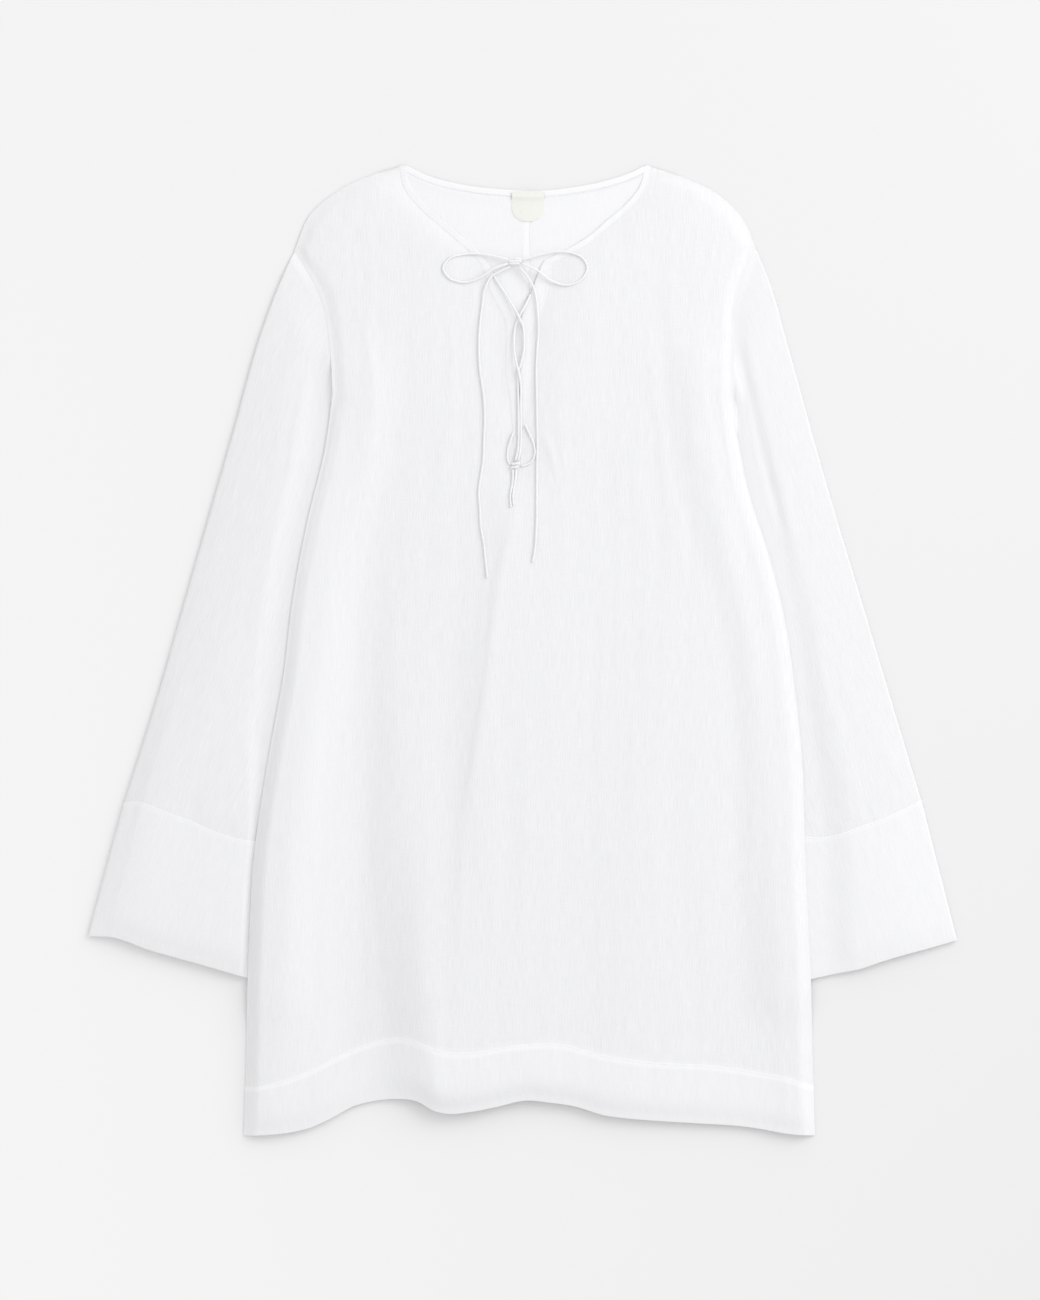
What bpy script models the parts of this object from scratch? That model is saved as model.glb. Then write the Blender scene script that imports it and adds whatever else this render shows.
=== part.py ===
"""Beach dress in crinkled cotton voile, laid flat on its back.

An A-line tunic dress with a bound round neck, a deep front slit laced with a thin cord
that is tied in a bow, long wide sleeves with deep double cuffs and a deep double hem.

Every length below is in millimetres and is turned into metres when a mesh is made.
X runs across the dress, +Y towards the neck, +Z up from the surface it lies on.
The origin is the bottom centre of the box round the garment.
"""
import bmesh
import bpy
import numpy as np

MM = 0.001

# Cloth: one layer with the air it traps, the doubled layer of hem and cuffs, and gaps
WALL = 1.0
DOUBLE_WALL = 1.4
SEAM_GAP = 0.3
CHORD_GAP = 0.4
LAYER_AIR = 0.8
AIR_REACH = 30.0
BINDING_WIDTH = 4.5
BINDING_RISE = 0.6
SLIT_BAND_RISE = 1.0
LABEL_WALL = 1.0

# The sides of the body lie on the inner edges of the sleeves and cuffs
SIDE_LIFT = 3.7
LIFT_REACH = 30.0
LIFT_FADE = 34.0
LIFT_TOP = 232.0
LIFT_TOP_FADE = 70.0
LIFT_BOTTOM = -304.0
LIFT_BOTTOM_FADE = 45.0
EDGE_ROLL = 13.0

# Grid steps: across half a panel, down the neck, the slit and below it, down a hem
PANEL_ACROSS = 18
BACK_ACROSS = 10
FRONT_NECK_ROWS = 6
BACK_NECK_STEPS = 5
BINDING_FINER = 3
BAND_ROWS_SHORT = 2
SLIT_ROWS = 8
BODY_ROWS = 18
ARMHOLE_ROWS = 6
HEM_ROWS = 3
SLEEVE_ACROSS = 12
SLEEVE_ROWS = 14
CUFF_ROWS = 4
HEIGHT_PROBE = 0.5
FINE_STEPS = 40
LENGTH_STEPS = 200

# Body outline, from the neck point over the shoulder to its tip: x, y
SHOULDER_LEFT = ((-105.75, 436.5), (-128.0, 430.0), (-164.0, 414.0), (-191.0, 391.5), (-205.0, 360.0))
SHOULDER_RIGHT = ((110.25, 436.5), (144.5, 425.0), (178.0, 408.6), (200.0, 385.0), (209.5, 363.0))

# Armhole seam, from the tip of the shoulder down to the underarm: x, y
ARMHOLE_LEFT = ((-205.0, 360.0), (-180.5, 315.0), (-173.0, 270.0), (-170.5, 229.5))
ARMHOLE_RIGHT = ((209.5, 363.0), (195.0, 324.0), (190.0, 270.0), (190.5, 225.0), (192.0, 200.0))

# Side seam, from the underarm down to the corner of the hem: x, y
SIDE_LEFT = ((-170.5, 229.5), (-177.75, 180.0), (-193.0, 117.0), (-206.5, 45.0), (-215.5, -27.0),
             (-225.5, -81.0), (-234.5, -135.0), (-240.8, -180.0), (-246.0, -270.0), (-250.7, -436.5))
SIDE_RIGHT = ((192.0, 200.0), (203.0, 144.0), (223.0, 81.0), (236.0, 27.0), (245.0, -36.0),
              (251.5, -99.0), (254.0, -180.0), (259.0, -292.5), (263.0, -436.5))

# Free edge of the front neckline, from the slit up to the neck point: x, y
FRONT_NECK_LEFT = ((-31.0, 348.0), (-40.0, 359.0), (-56.5, 373.5), (-69.5, 385.0), (-87.5, 400.5),
                   (-101.5, 418.5), (-105.75, 436.5))
FRONT_NECK_RIGHT = ((20.0, 351.0), (44.5, 363.0), (61.0, 373.5), (74.0, 385.0), (92.0, 400.5),
                    (106.0, 418.5), (110.25, 436.5))

# Free edge of the back neckline, from the left neck point to the right one: x, y
BACK_NECK = ((-105.75, 436.5), (-83.0, 426.0), (-47.0, 417.6), (-11.0, 414.0), (7.0, 413.0),
             (43.0, 416.0), (70.0, 421.0), (106.0, 434.0), (110.25, 436.5))

# Bound edges of the front slit, from the neck down: y, outer x and inner x of each band
SLIT_LEFT = ((343.0, -35.0, -28.5), (337.5, -32.5, -25.5), (322.2, -27.4, -16.7), (308.0, -20.5, -9.5),
             (297.0, -15.0, -4.9), (283.5, -13.5, -7.7), (270.0, -14.0, -7.7), (249.0, -14.0, -4.6),
             (229.5, -11.2, -4.2), (207.0, -8.6, -3.8), (190.0, -7.6, -3.4), (169.0, -5.4, -3.1))
SLIT_RIGHT = ((345.0, 25.2, 16.6), (337.5, 24.6, 13.6), (322.2, 21.6, 7.9), (308.0, 17.2, 2.2),
              (297.0, 12.4, -1.5), (283.5, 7.4, 1.3), (270.0, 6.7, 1.3), (249.0, 6.7, -2.6),
              (229.5, 4.0, -2.3), (207.0, 2.6, -2.0), (190.0, 1.6, -1.7), (169.0, -0.5, -1.4))
SLIT_FOOT = (-2.25, 166.0)
BODY_CENTRE_X = -2.25
BACK_SEAM_X = 4.0

# Seam of the front hem and its free edge, from the left side to the right one: x, y
HEM_SEAM = ((-249.3, -394.0), (-234.5, -391.5), (-209.0, -385.0), (-187.0, -376.0), (-169.0, -367.0),
            (-142.0, -355.5), (-110.0, -348.5), (-65.0, -360.5), (-38.0, -360.0), (-23.0, -357.0),
            (7.0, -353.7), (34.0, -353.7), (65.0, -362.0), (106.0, -369.0), (178.0, -374.4),
            (214.0, -380.0), (236.0, -384.0), (261.9, -393.0))
HEM_EDGE = ((-250.7, -436.5), (-209.0, -433.0), (-191.0, -429.0), (-173.0, -421.0), (-151.0, -409.5),
            (-133.0, -405.0), (-115.0, -403.0), (-94.0, -405.0), (-79.0, -413.0), (-67.0, -415.5),
            (-47.0, -414.0), (-25.0, -410.0), (4.0, -404.0), (25.0, -406.0), (47.0, -409.5),
            (74.0, -417.6), (92.0, -420.0), (128.0, -423.0), (160.0, -425.0), (196.0, -427.5),
            (214.0, -430.0), (236.0, -434.0), (263.0, -436.5))
BACK_HEM_SHORTER = 3.0

# The panels' neck edges start a little below the neck point, the back binding a little inside it
NECK_POINT_DROP = 1.5
BACK_NECK_CLEAR = 4.0
BACK_BINDING_END = 0.06
HEM_CORNER_CLEAR = 20.0

# Folds of the front: the rows are crests and hollows from left to right, the columns
# stand at FOLD_STATIONS down the body. First table: x of each line.
FOLD_STATIONS = (436.5, 315.0, 225.0, 117.0, 0.0, -135.0, -270.0, -369.0, -436.5)
FOLD_X = {
    "left side crest": (-200.0, -178.0, -158.0, -173.0, -191.0, -207.0, -218.0, -223.0, -225.0),
    "left side face": (-164.0, -151.0, -135.0, -150.0, -165.0, -176.0, -183.0, -186.0, -188.0),
    "left hollow": (-110.0, -101.0, -104.0, -122.0, -138.0, -142.0, -138.0, -130.0, -127.0),
    "main crest": (-83.0, -81.0, -86.0, -100.0, -112.0, -104.0, -92.0, -83.0, -81.0),
    "crest hollow": (-56.0, -54.0, -52.0, -44.0, -53.0, -63.0, -67.0, -63.0, -61.0),
    "slit crest": (-29.0, -29.0, -25.0, -13.0, -29.0, -44.0, -54.0, -50.0, -46.0),
    "centre hollow": (-16.0, -16.0, -11.0, 2.0, 5.0, -7.0, -13.0, -14.0, -14.0),
    "centre crest": (7.0, 7.0, 9.0, 20.0, 29.0, 16.0, 7.0, 4.0, 4.0),
    "right hollow": (52.0, 52.0, 52.0, 56.0, 61.0, 56.0, 50.0, 47.0, 47.0),
    "right crest": (88.0, 88.0, 90.0, 92.0, 97.0, 106.0, 97.0, 88.0, 86.0),
    "right face": (124.0, 128.0, 133.0, 142.0, 151.0, 155.0, 155.0, 153.0, 151.0),
    "low right hollow": (160.0, 157.0, 160.0, 176.0, 196.0, 203.0, 205.0, 212.0, 214.0),
    "right side crest": (191.0, 177.0, 176.0, 196.0, 222.0, 238.0, 245.0, 248.0, 249.0)}

# Second table: height of each line over the layers that lie flat
FOLD_HEIGHT = {
    "left side crest": (1.0, 2.0, 2.6, 3.4, 4.6, 6.4, 8.4, 8.6, 8.4),
    "left side face": (1.0, 1.8, 2.4, 2.8, 3.6, 4.6, 5.8, 5.6, 5.6),
    "left hollow": (1.0, 1.3, 1.7, 1.6, 1.3, 1.3, 1.6, 2.0, 2.2),
    "main crest": (1.0, 1.3, 1.7, 2.2, 3.4, 6.4, 12.6, 16.8, 18.0),
    "crest hollow": (1.0, 1.2, 1.4, 1.6, 2.4, 5.6, 12.2, 16.2, 17.4),
    "slit crest": (1.0, 1.2, 1.6, 3.8, 5.8, 8.8, 12.4, 15.4, 16.4),
    "centre hollow": (1.0, 1.2, 1.5, 3.4, 5.6, 8.0, 10.8, 13.0, 13.6),
    "centre crest": (1.0, 1.2, 1.7, 3.2, 5.4, 7.8, 10.2, 12.4, 13.2),
    "right hollow": (1.0, 1.2, 1.7, 2.8, 4.6, 6.4, 8.2, 9.6, 10.2),
    "right crest": (1.0, 1.4, 2.0, 3.4, 5.6, 7.4, 8.6, 9.6, 10.0),
    "right face": (1.0, 2.0, 2.8, 4.2, 5.8, 6.4, 6.4, 6.8, 7.0),
    "low right hollow": (1.2, 2.8, 3.4, 3.8, 4.4, 4.6, 4.8, 5.2, 5.4),
    "right side crest": (1.2, 2.6, 2.6, 2.4, 2.6, 4.4, 8.8, 9.0, 8.8)}

# Sleeves: outer edge from the shoulder's tip, inner edge from the underarm, which soon
# lies under the body, and the cuff seam from the outer edge to the inner one: x, y
SLEEVE_OUTER_LEFT = ((-205.3, 360.0), (-217.5, 333.0), (-234.5, 288.0), (-260.0, 198.0), (-303.7, 45.0),
                     (-329.4, -45.0), (-358.7, -137.7))
SLEEVE_OUTER_RIGHT = ((209.8, 363.0), (224.6, 324.0), (237.2, 279.0), (249.8, 234.0), (266.0, 175.5),
                      (312.0, 21.0), (358.7, -135.0))
SLEEVE_INNER_LEFT = ((-170.8, 229.5), (-172.0, 205.0), (-170.5, 178.0), (-172.5, 135.0), (-183.5, 72.0),
                     (-198.0, 0.0), (-214.8, -81.0), (-235.0, -173.5))
SLEEVE_INNER_RIGHT = ((192.3, 200.0), (194.6, 178.0), (194.5, 150.0), (198.0, 110.0), (209.0, 60.0),
                      (223.0, -5.0), (237.0, -85.0), (248.0, -168.0))
CUFF_SEAM_LEFT = ((-358.7, -137.7), (-347.0, -136.8), (-317.0, -146.7), (-295.0, -154.8), (-276.8, -163.0),
                  (-258.8, -169.2), (-235.0, -173.5))
CUFF_SEAM_RIGHT = ((358.7, -135.0), (353.3, -138.6), (339.8, -145.0), (321.8, -153.0), (303.8, -159.0),
                   (285.8, -165.6), (270.5, -169.0), (248.0, -168.0))
CUFF_EDGE_LEFT = ((-391.0, -257.0), (-369.5, -257.6), (-335.3, -269.0), (-290.3, -281.7), (-241.5, -296.0))
CUFF_EDGE_RIGHT = ((391.0, -260.5), (366.8, -267.3), (339.8, -274.5), (321.8, -280.0), (303.8, -286.0),
                   (281.3, -290.7), (253.0, -297.0))

# Sleeve heights: share of the way down, height of the crest, its place from the outer
# edge (0) to the inner one (1)
PUFF_LEFT = ((0.0, 4.6, 0.48), (0.25, 8.5, 0.46), (0.6, 9.5, 0.46), (1.0, 10.5, 0.36))
PUFF_RIGHT = ((0.0, 4.6, 0.55), (0.25, 5.2, 0.64), (0.6, 5.4, 0.64), (1.0, 7.6, 0.52))
CUFF_PUFF_LEFT = ((0.0, 10.5, 0.36), (0.5, 11.5, 0.28), (1.0, 12.5, 0.25))
CUFF_PUFF_RIGHT = ((0.0, 7.6, 0.50), (0.5, 9.0, 0.48), (1.0, 10.5, 0.47))
ARCH_POWER = 0.9
SLEEVE_LEAN = 2.0
TUBE_EDGE_HEIGHT = 2.6
CUFF_EDGE_HEIGHT = 3.3
COVERED_MARGIN = 8.0
COVERED_REACH = 20.0
UNDERARM_MARGIN = 12.0
ARMHOLE_BLEND = 0.16
UNDERARM_BLEND = 30.0

# Neck label: centre x, top y, half width, height down to the rounded corners, corner radius
LABEL_CENTRE_X = 5.0
LABEL_TOP_Y = 412.0
LABEL_HALF_WIDTH = 14.4
LABEL_STRAIGHT = 14.0
LABEL_ROUND = 12.5
LABEL_TIP_SHARE = 0.98
LABEL_STEP_START = 5.5
LABEL_STEP_REACH = 4.0
LABEL_COLUMNS = 8
LABEL_ROWS = 8

# Cord: routes over the cloth as x, y and the rise of the cord's centre over the front
CORD = 2.0
CORD_STEP = 5.6
ON_CLOTH = 1.7
ON_BAND = 2.6
OVER_CORD = 5.0
CORD_ROUTES = {
    "lace_left": ((-22.6, 331.0, ON_BAND), (-16.6, 322.0, ON_BAND), (-9.9, 311.0, 3.4),
                  (-3.2, 299.0, OVER_CORD), (0.4, 290.0, 3.4), (1.4, 281.0, ON_BAND),
                  (1.2, 270.0, ON_BAND), (-1.3, 258.0, ON_BAND),
                  (-3.9, 249.0, ON_BAND), (-4.2, 238.0, ON_BAND), (-3.9, 220.0, ON_BAND),
                  (-3.7, 200.0, ON_BAND), (-4.2, 181.0, ON_BAND), (-6.4, 169.8, 3.0)),
    "lace_right": ((7.4, 320.0, ON_BAND), (2.2, 309.0, ON_BAND), (-3.2, 299.0, 2.4), (-6.6, 290.0, 2.5),
                   (-7.7, 281.0, 2.8), (-7.5, 270.0, 3.2), (-5.6, 258.0, 4.4), (-3.3, 249.0, OVER_CORD),
                   (-1.7, 240.0, 3.8), (-1.4, 220.0, ON_BAND), (-1.2, 200.0, ON_BAND),
                   (-1.6, 181.0, ON_BAND), (-3.8, 169.5, 3.0)),
    "bow_loop_left": ((-12.7, 350.5, 4.3), (-24.0, 353.6, 3.4), (-38.0, 356.0, 2.6), (-54.0, 355.6, ON_CLOTH),
                      (-66.0, 351.5, ON_CLOTH), (-71.5, 343.6, ON_CLOTH), (-66.5, 334.8, ON_CLOTH),
                      (-53.0, 330.4, ON_CLOTH), (-38.5, 334.4, 3.6), (-25.5, 342.6, 5.6), (-12.7, 347.4, 4.5)),
    "bow_loop_right": ((-0.8, 350.5, 4.3), (13.0, 354.6, 3.4), (30.0, 358.0, 3.0), (44.0, 357.0, ON_BAND),
                       (54.5, 351.6, ON_CLOTH), (58.2, 343.4, ON_CLOTH), (53.0, 333.0, ON_CLOTH),
                       (40.0, 328.0, ON_CLOTH), (26.0, 331.8, 3.0), (12.5, 341.4, 4.8), (-0.8, 347.4, 4.5)),
    "bow_tail_left": ((-10.5, 344.7, 3.4), (-20.0, 340.6, 2.8), (-28.0, 335.6, ON_BAND),
                      (-33.4, 326.0, ON_BAND), (-36.0, 311.4, ON_CLOTH), (-38.3, 292.5, ON_CLOTH),
                      (-39.2, 270.0, ON_CLOTH), (-38.3, 252.0, ON_CLOTH), (-35.6, 234.0, ON_CLOTH),
                      (-33.8, 210.6, ON_CLOTH), (-34.5, 190.8, ON_CLOTH), (-35.3, 170.0, ON_CLOTH),
                      (-37.4, 156.0, ON_CLOTH),
                      (-39.2, 142.0, ON_CLOTH), (-38.4, 127.8, ON_CLOTH), (-37.4, 110.0, ON_CLOTH),
                      (-35.0, 96.3, ON_CLOTH), (-33.3, 81.5, ON_CLOTH), (-31.6, 64.3, ON_CLOTH)),
    "bow_tail_right": ((-3.3, 344.7, 3.4), (3.4, 336.4, 2.8), (9.5, 326.7, ON_BAND), (12.4, 315.0, ON_BAND),
                       (13.6, 303.0, ON_BAND), (14.4, 290.0, ON_BAND), (13.5, 274.5, ON_CLOTH),
                       (12.6, 261.0, ON_CLOTH), (12.6, 230.0, ON_CLOTH), (13.2, 205.0, ON_CLOTH),
                       (13.4, 182.0, ON_CLOTH), (12.9, 160.0, ON_CLOTH), (12.8, 138.0, ON_CLOTH),
                       (12.3, 108.0, ON_CLOTH), (11.0, 90.0, ON_CLOTH), (9.0, 78.3, ON_CLOTH)),
    "lower_loop_left": ((-7.4, 196.5, ON_BAND), (-11.2, 187.0, ON_BAND), (-13.4, 178.0, ON_CLOTH),
                        (-13.2, 170.6, ON_CLOTH), (-11.0, 166.2, ON_CLOTH)),
    "lower_loop_right": ((2.2, 203.0, ON_BAND), (6.8, 193.0, ON_CLOTH), (10.4, 184.0, ON_CLOTH),
                         (11.0, 176.0, ON_CLOTH), (8.0, 169.4, ON_CLOTH), (3.0, 166.4, ON_CLOTH),
                         (-1.8, 165.4, ON_CLOTH)),
    "lower_tail_left": ((-8.6, 162.4, 2.4), (-9.0, 150.0, ON_CLOTH), (-10.8, 140.0, ON_CLOTH),
                        (-10.4, 127.6, ON_CLOTH)),
    "lower_tail_right": ((-4.9, 162.3, 2.4), (-6.2, 150.0, ON_CLOTH), (-8.2, 140.0, ON_CLOTH),
                         (-7.8, 129.5, ON_CLOTH))}

# Knots: centre x, y, its rise over the front, and the half sizes along X, Y and Z
KNOTS = {"bow_knot": ((-6.75, 349.0, 4.2), (5.6, 3.6, 2.8)),
         "lower_knot": ((-6.4, 166.0, 3.4), (3.4, 3.2, 2.4))}
KNOT_SEGMENTS = 12
KNOT_RINGS = 8

# Finishes: colour, roughness
FINISHES = {"voile": ((0.88, 0.88, 0.89, 1.0), 0.85),
            "double voile": ((0.90, 0.90, 0.91, 1.0), 0.85),
            "cord": ((0.94, 0.94, 0.93, 1.0), 0.75),
            "label": ((0.86, 0.85, 0.76, 1.0), 0.70)}


def smoothstep(share):
    """Ease from 0 to 1, level at both ends."""
    share = np.clip(share, 0.0, 1.0)
    return share * share * (3.0 - 2.0 * share)


def eased(at, knots, values):
    """Cubic Hermite curve through values at rising knots, held level beyond both ends."""
    knots = np.asarray(knots, float)
    values = np.asarray(values, float)
    at = np.clip(np.asarray(at, float), knots[0], knots[-1])
    slopes = np.gradient(values, knots)
    cell = np.clip(np.searchsorted(knots, at) - 1, 0, len(knots) - 2)
    span = knots[cell + 1] - knots[cell]
    t = (at - knots[cell]) / span
    return ((2 * t**3 - 3 * t**2 + 1) * values[cell] + (t**3 - 2 * t**2 + t) * span * slopes[cell]
            + (3 * t**2 - 2 * t**3) * values[cell + 1] + (t**3 - t**2) * span * slopes[cell + 1])


def along(points, shares):
    """Points on the smooth curve through `points` at the given shares of its length."""
    points = np.asarray(points, float)
    steps = np.linalg.norm(np.diff(points, axis=0), axis=1)
    reach = np.concatenate([[0.0], np.cumsum(steps)])
    fine = np.linspace(0.0, reach[-1], FINE_STEPS * len(points))
    dense = np.stack([eased(fine, reach, column) for column in points.T], axis=-1)
    walked = np.concatenate([[0.0], np.cumsum(np.linalg.norm(np.diff(dense, axis=0), axis=1))])
    wanted = np.asarray(shares, float) * walked[-1]
    return np.stack([np.interp(wanted, walked, column) for column in dense.T], axis=-1)


def length_of(points):
    """Length of the smooth curve through `points`."""
    dense = along(points, np.linspace(0.0, 1.0, LENGTH_STEPS))
    return float(np.linalg.norm(np.diff(dense, axis=0), axis=1).sum())


def on_chords(corners, steps):
    """Even points on the straight lines that join `corners`."""
    at = np.linspace(0.0, len(corners) - 1, steps + 1)
    return np.stack([np.interp(at, np.arange(len(corners)), column) for column in corners.T], axis=-1)


def moved_sideways(points, distance):
    """A plan curve moved to the left of its direction by `distance`."""
    points = np.asarray(points, float)
    tangent = np.gradient(points, axis=0)
    tangent /= np.linalg.norm(tangent, axis=1, keepdims=True)
    return points + distance * np.stack([-tangent[:, 1], tangent[:, 0]], axis=1)


def edge_tables(shoulder, armhole, side):
    """Rising y and the matching x of one whole side of the body, neck point to hem."""
    rows = np.array(shoulder + armhole[1:] + side[1:], float)[::-1]
    return rows[:, 1], rows[:, 0]


EDGE_LEFT = edge_tables(SHOULDER_LEFT, ARMHOLE_LEFT, SIDE_LEFT)
EDGE_RIGHT = edge_tables(SHOULDER_RIGHT, ARMHOLE_RIGHT, SIDE_RIGHT)


def inside_edge(x, y):
    """Distance from the nearer side edge of the body, positive inside the body."""
    reach = []
    for (rows, places), sign in ((EDGE_LEFT, 1.0), (EDGE_RIGHT, -1.0)):
        edge = eased(y, rows, places)
        ahead, behind = eased(y + HEIGHT_PROBE, rows, places), eased(y - HEIGHT_PROBE, rows, places)
        lean = (ahead - behind) / (2 * HEIGHT_PROBE)
        reach.append(sign * (x - edge) / np.sqrt(1.0 + lean * lean))
    return np.minimum(*reach)


def fold_height(x, y):
    """Height of the folds: at each y the crests and hollows are joined by one smooth curve across x."""
    x, y = np.broadcast_arrays(np.asarray(x, float), np.asarray(y, float))
    rows = np.array(FOLD_STATIONS[::-1])
    places = np.array([eased(y, rows, line[::-1]) for line in FOLD_X.values()])
    heights = np.array([eased(y, rows, line[::-1]) for line in FOLD_HEIGHT.values()])
    # Level beyond the outermost lines
    at = np.clip(x, places[0], places[-1])
    slopes = np.zeros_like(heights)
    slopes[1:-1] = (heights[2:] - heights[:-2]) / (places[2:] - places[:-2])
    result = np.array(heights[0])
    for k in range(len(places) - 1):
        span = places[k + 1] - places[k]
        t = np.clip((at - places[k]) / span, 0.0, 1.0)
        piece = ((2 * t**3 - 3 * t**2 + 1) * heights[k] + (t**3 - 2 * t**2 + t) * span * slopes[k]
                 + (3 * t**2 - 2 * t**3) * heights[k + 1] + (t**3 - t**2) * span * slopes[k + 1])
        result = np.where(at >= places[k], piece, result)
    return result


def back_under(x, y):
    """Underside of the back: on the surface, lifted at the sides where sleeves lie below."""
    across = 1.0 - smoothstep((inside_edge(x, y) - LIFT_REACH) / LIFT_FADE)
    upper = 1.0 - smoothstep((y - LIFT_TOP) / LIFT_TOP_FADE)
    lower = 1.0 - smoothstep((LIFT_BOTTOM - y) / LIFT_BOTTOM_FADE)
    return SIDE_LIFT * across * upper * lower


def back_top(x, y):
    return back_under(x, y) + WALL


def front_under(x, y):
    """Underside of the front: over the back, with air between the layers and the folds."""
    reach = inside_edge(x, y)
    air = LAYER_AIR * smoothstep(reach / AIR_REACH)
    return back_top(x, y) + SEAM_GAP + air + fold_height(x, y) * smoothstep(reach / EDGE_ROLL)


def rise_of(wall, surface, x, y):
    """Upright thickness that keeps a sloping wall `wall` thick across its slope."""
    slope_x = (surface(x + HEIGHT_PROBE, y) - surface(x - HEIGHT_PROBE, y)) / (2 * HEIGHT_PROBE)
    slope_y = (surface(x, y + HEIGHT_PROBE) - surface(x, y - HEIGHT_PROBE)) / (2 * HEIGHT_PROBE)
    return wall * np.sqrt(1.0 + slope_x**2 + slope_y**2)


def front_top(x, y):
    return front_under(x, y) + rise_of(WALL, front_under, x, y)


def finish(name):
    """The Principled material of one finish, made once."""
    material = bpy.data.materials.get(name)
    if material is None:
        colour, roughness = FINISHES[name]
        material = bpy.data.materials.new(name)
        material.use_nodes = True
        shader = material.node_tree.nodes["Principled BSDF"]
        shader.inputs["Base Color"].default_value = colour
        shader.inputs["Roughness"].default_value = roughness
        shader.inputs["Metallic"].default_value = 0.0
    return material


def add_solid(name, points, faces, material):
    """A closed mesh object from points in millimetres, its faces turned outwards."""
    mesh = bpy.data.meshes.new(name)
    mesh.from_pydata((np.asarray(points) * MM).tolist(), [], faces)
    shaped = bmesh.new()
    shaped.from_mesh(mesh)
    bmesh.ops.recalc_face_normals(shaped, faces=shaped.faces)
    shaped.to_mesh(mesh)
    shaped.free()
    mesh.materials.append(finish(material))
    mesh.shade_smooth()
    solid = bpy.data.objects.new(name, mesh)
    bpy.context.collection.objects.link(solid)
    return solid


def grid_faces(rows, columns, first=0, closed=False):
    """Quads of a grid of points stored row by row."""
    faces = []
    for i in range(rows - 1):
        for j in range(columns if closed else columns - 1):
            k = (j + 1) % columns
            a, b = first + i * columns, first + (i + 1) * columns
            faces.append((a + j, a + k, b + k, b + j))
    return faces


def add_cloth(name, patches, under, wall, material):
    """A wall of cloth over one or more plan grids, welded where their points coincide.

    Each patch is a grid of x, y. `under` gives the height of the wall's underside, and
    `wall` its upright thickness. Edges that only one face uses get a rim.
    """
    index = {}
    plan = []
    faces = []
    for patch in patches:
        rows, columns = patch.shape[:2]
        numbers = []
        for x, y in patch.reshape(-1, 2):
            key = (round(float(x), 3), round(float(y), 3))
            if key not in index:
                index[key] = len(plan)
                plan.append((x, y))
            numbers.append(index[key])
        faces += [tuple(numbers[k] for k in face) for face in grid_faces(rows, columns)]
    plan = np.array(plan)
    low = under(plan[:, 0], plan[:, 1])
    high = low + wall(plan[:, 0], plan[:, 1])
    count = len(plan)
    used = {}
    for face in faces:
        for start, end in zip(face, face[1:] + face[:1]):
            used.setdefault(frozenset((start, end)), []).append((start, end))
    rims = [uses[0] for uses in used.values() if len(uses) == 1]
    points = np.vstack([np.column_stack([plan, high]), np.column_stack([plan, low])])
    lower = [tuple(k + count for k in reversed(face)) for face in faces]
    walls = [(start, start + count, end + count, end) for start, end in rims]
    return add_solid(name, points, faces + lower + walls, material)


def coons(top, bottom, inner, outer, lean=1.0):
    """Grid between four plan curves: rows run from top to bottom, columns from inner to outer.

    The inner and outer curves are blended by the share across, raised to the power `lean`.
    """
    u = np.linspace(0.0, 1.0, len(top))[None, :, None] ** lean
    v = np.linspace(0.0, 1.0, len(inner))[:, None, None]
    sides = (1 - u) * inner[:, None, :] + u * outer[:, None, :]
    ends = (1 - v) * top[None, :, :] + v * bottom[None, :, :]
    corners = ((1 - u) * (1 - v) * top[0] + u * (1 - v) * top[-1]
               + (1 - u) * v * bottom[0] + u * v * bottom[-1])
    return sides + ends - corners


def joined(first, first_steps, second, second_steps):
    """Even points on two curves that meet at a corner, with the corner kept."""
    head = along(first, np.linspace(0.0, 1.0, first_steps + 1))
    tail = along(second, np.linspace(0.0, 1.0, second_steps + 1))
    return np.vstack([head, tail[1:]])


def by_x(curve, x):
    """Points of a curve given as rising x, y rows, at the places x."""
    rows = np.array(curve, float)
    return np.column_stack([x, eased(x, rows[:, 0], rows[:, 1])])


def body_side(armhole, side, hem_corner, rows):
    """Outer edge of a body panel from the shoulder's tip to the hem seam, in even steps."""
    below = tuple(point for point in side if point[1] > hem_corner[1] + HEM_CORNER_CLEAR)
    return joined(armhole, ARMHOLE_ROWS, below + (hem_corner,), rows - ARMHOLE_ROWS)


def hem_columns(side, steps):
    """x places of the hem's grid from the middle to one side."""
    corner = HEM_SEAM[0][0] if side == "left" else HEM_SEAM[-1][0]
    return np.linspace(BODY_CENTRE_X, corner, steps + 1)


def back_hem_columns(side):
    """x places of the back's hem grid, from the centre-back seam to one side."""
    sign, corner = (-1.0, HEM_SEAM[0][0]) if side == "left" else (1.0, HEM_SEAM[-1][0])
    return np.linspace(BACK_SEAM_X + sign * SEAM_GAP / 2, corner, BACK_ACROSS + 1)


def neck_edge(neck, shoulder, towards, steps):
    """Edge of a panel inside its neck binding, from the middle to the shoulder seam."""
    edge = moved_sideways(along(neck, np.linspace(0.0, 1.0, steps + 1)), towards * (BINDING_WIDTH + SEAM_GAP))
    outwards = np.sign(shoulder[0][0]) * (BINDING_WIDTH + SEAM_GAP)
    edge[-1] = (shoulder[0][0] + outwards, shoulder[0][1] - NECK_POINT_DROP)
    return edge


def with_shoulder(edge, shoulder, steps):
    """Upper edge of a half panel: its neck edge, then its shoulder seam."""
    seam = along((tuple(edge[-1]),) + shoulder[1:], np.linspace(0.0, 1.0, steps - len(edge) + 2))
    return np.vstack([edge, seam[1:]])


def neck_band(neck, edge, towards):
    """Plan grid of a binding between the free neckline and a panel's neck edge."""
    steps = (len(edge) - 1) * BINDING_FINER
    free = along(neck, np.linspace(0.0, 1.0, steps + 1))
    return band_between(free, moved_sideways(on_chords(edge, steps), -towards * CHORD_GAP))


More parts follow.
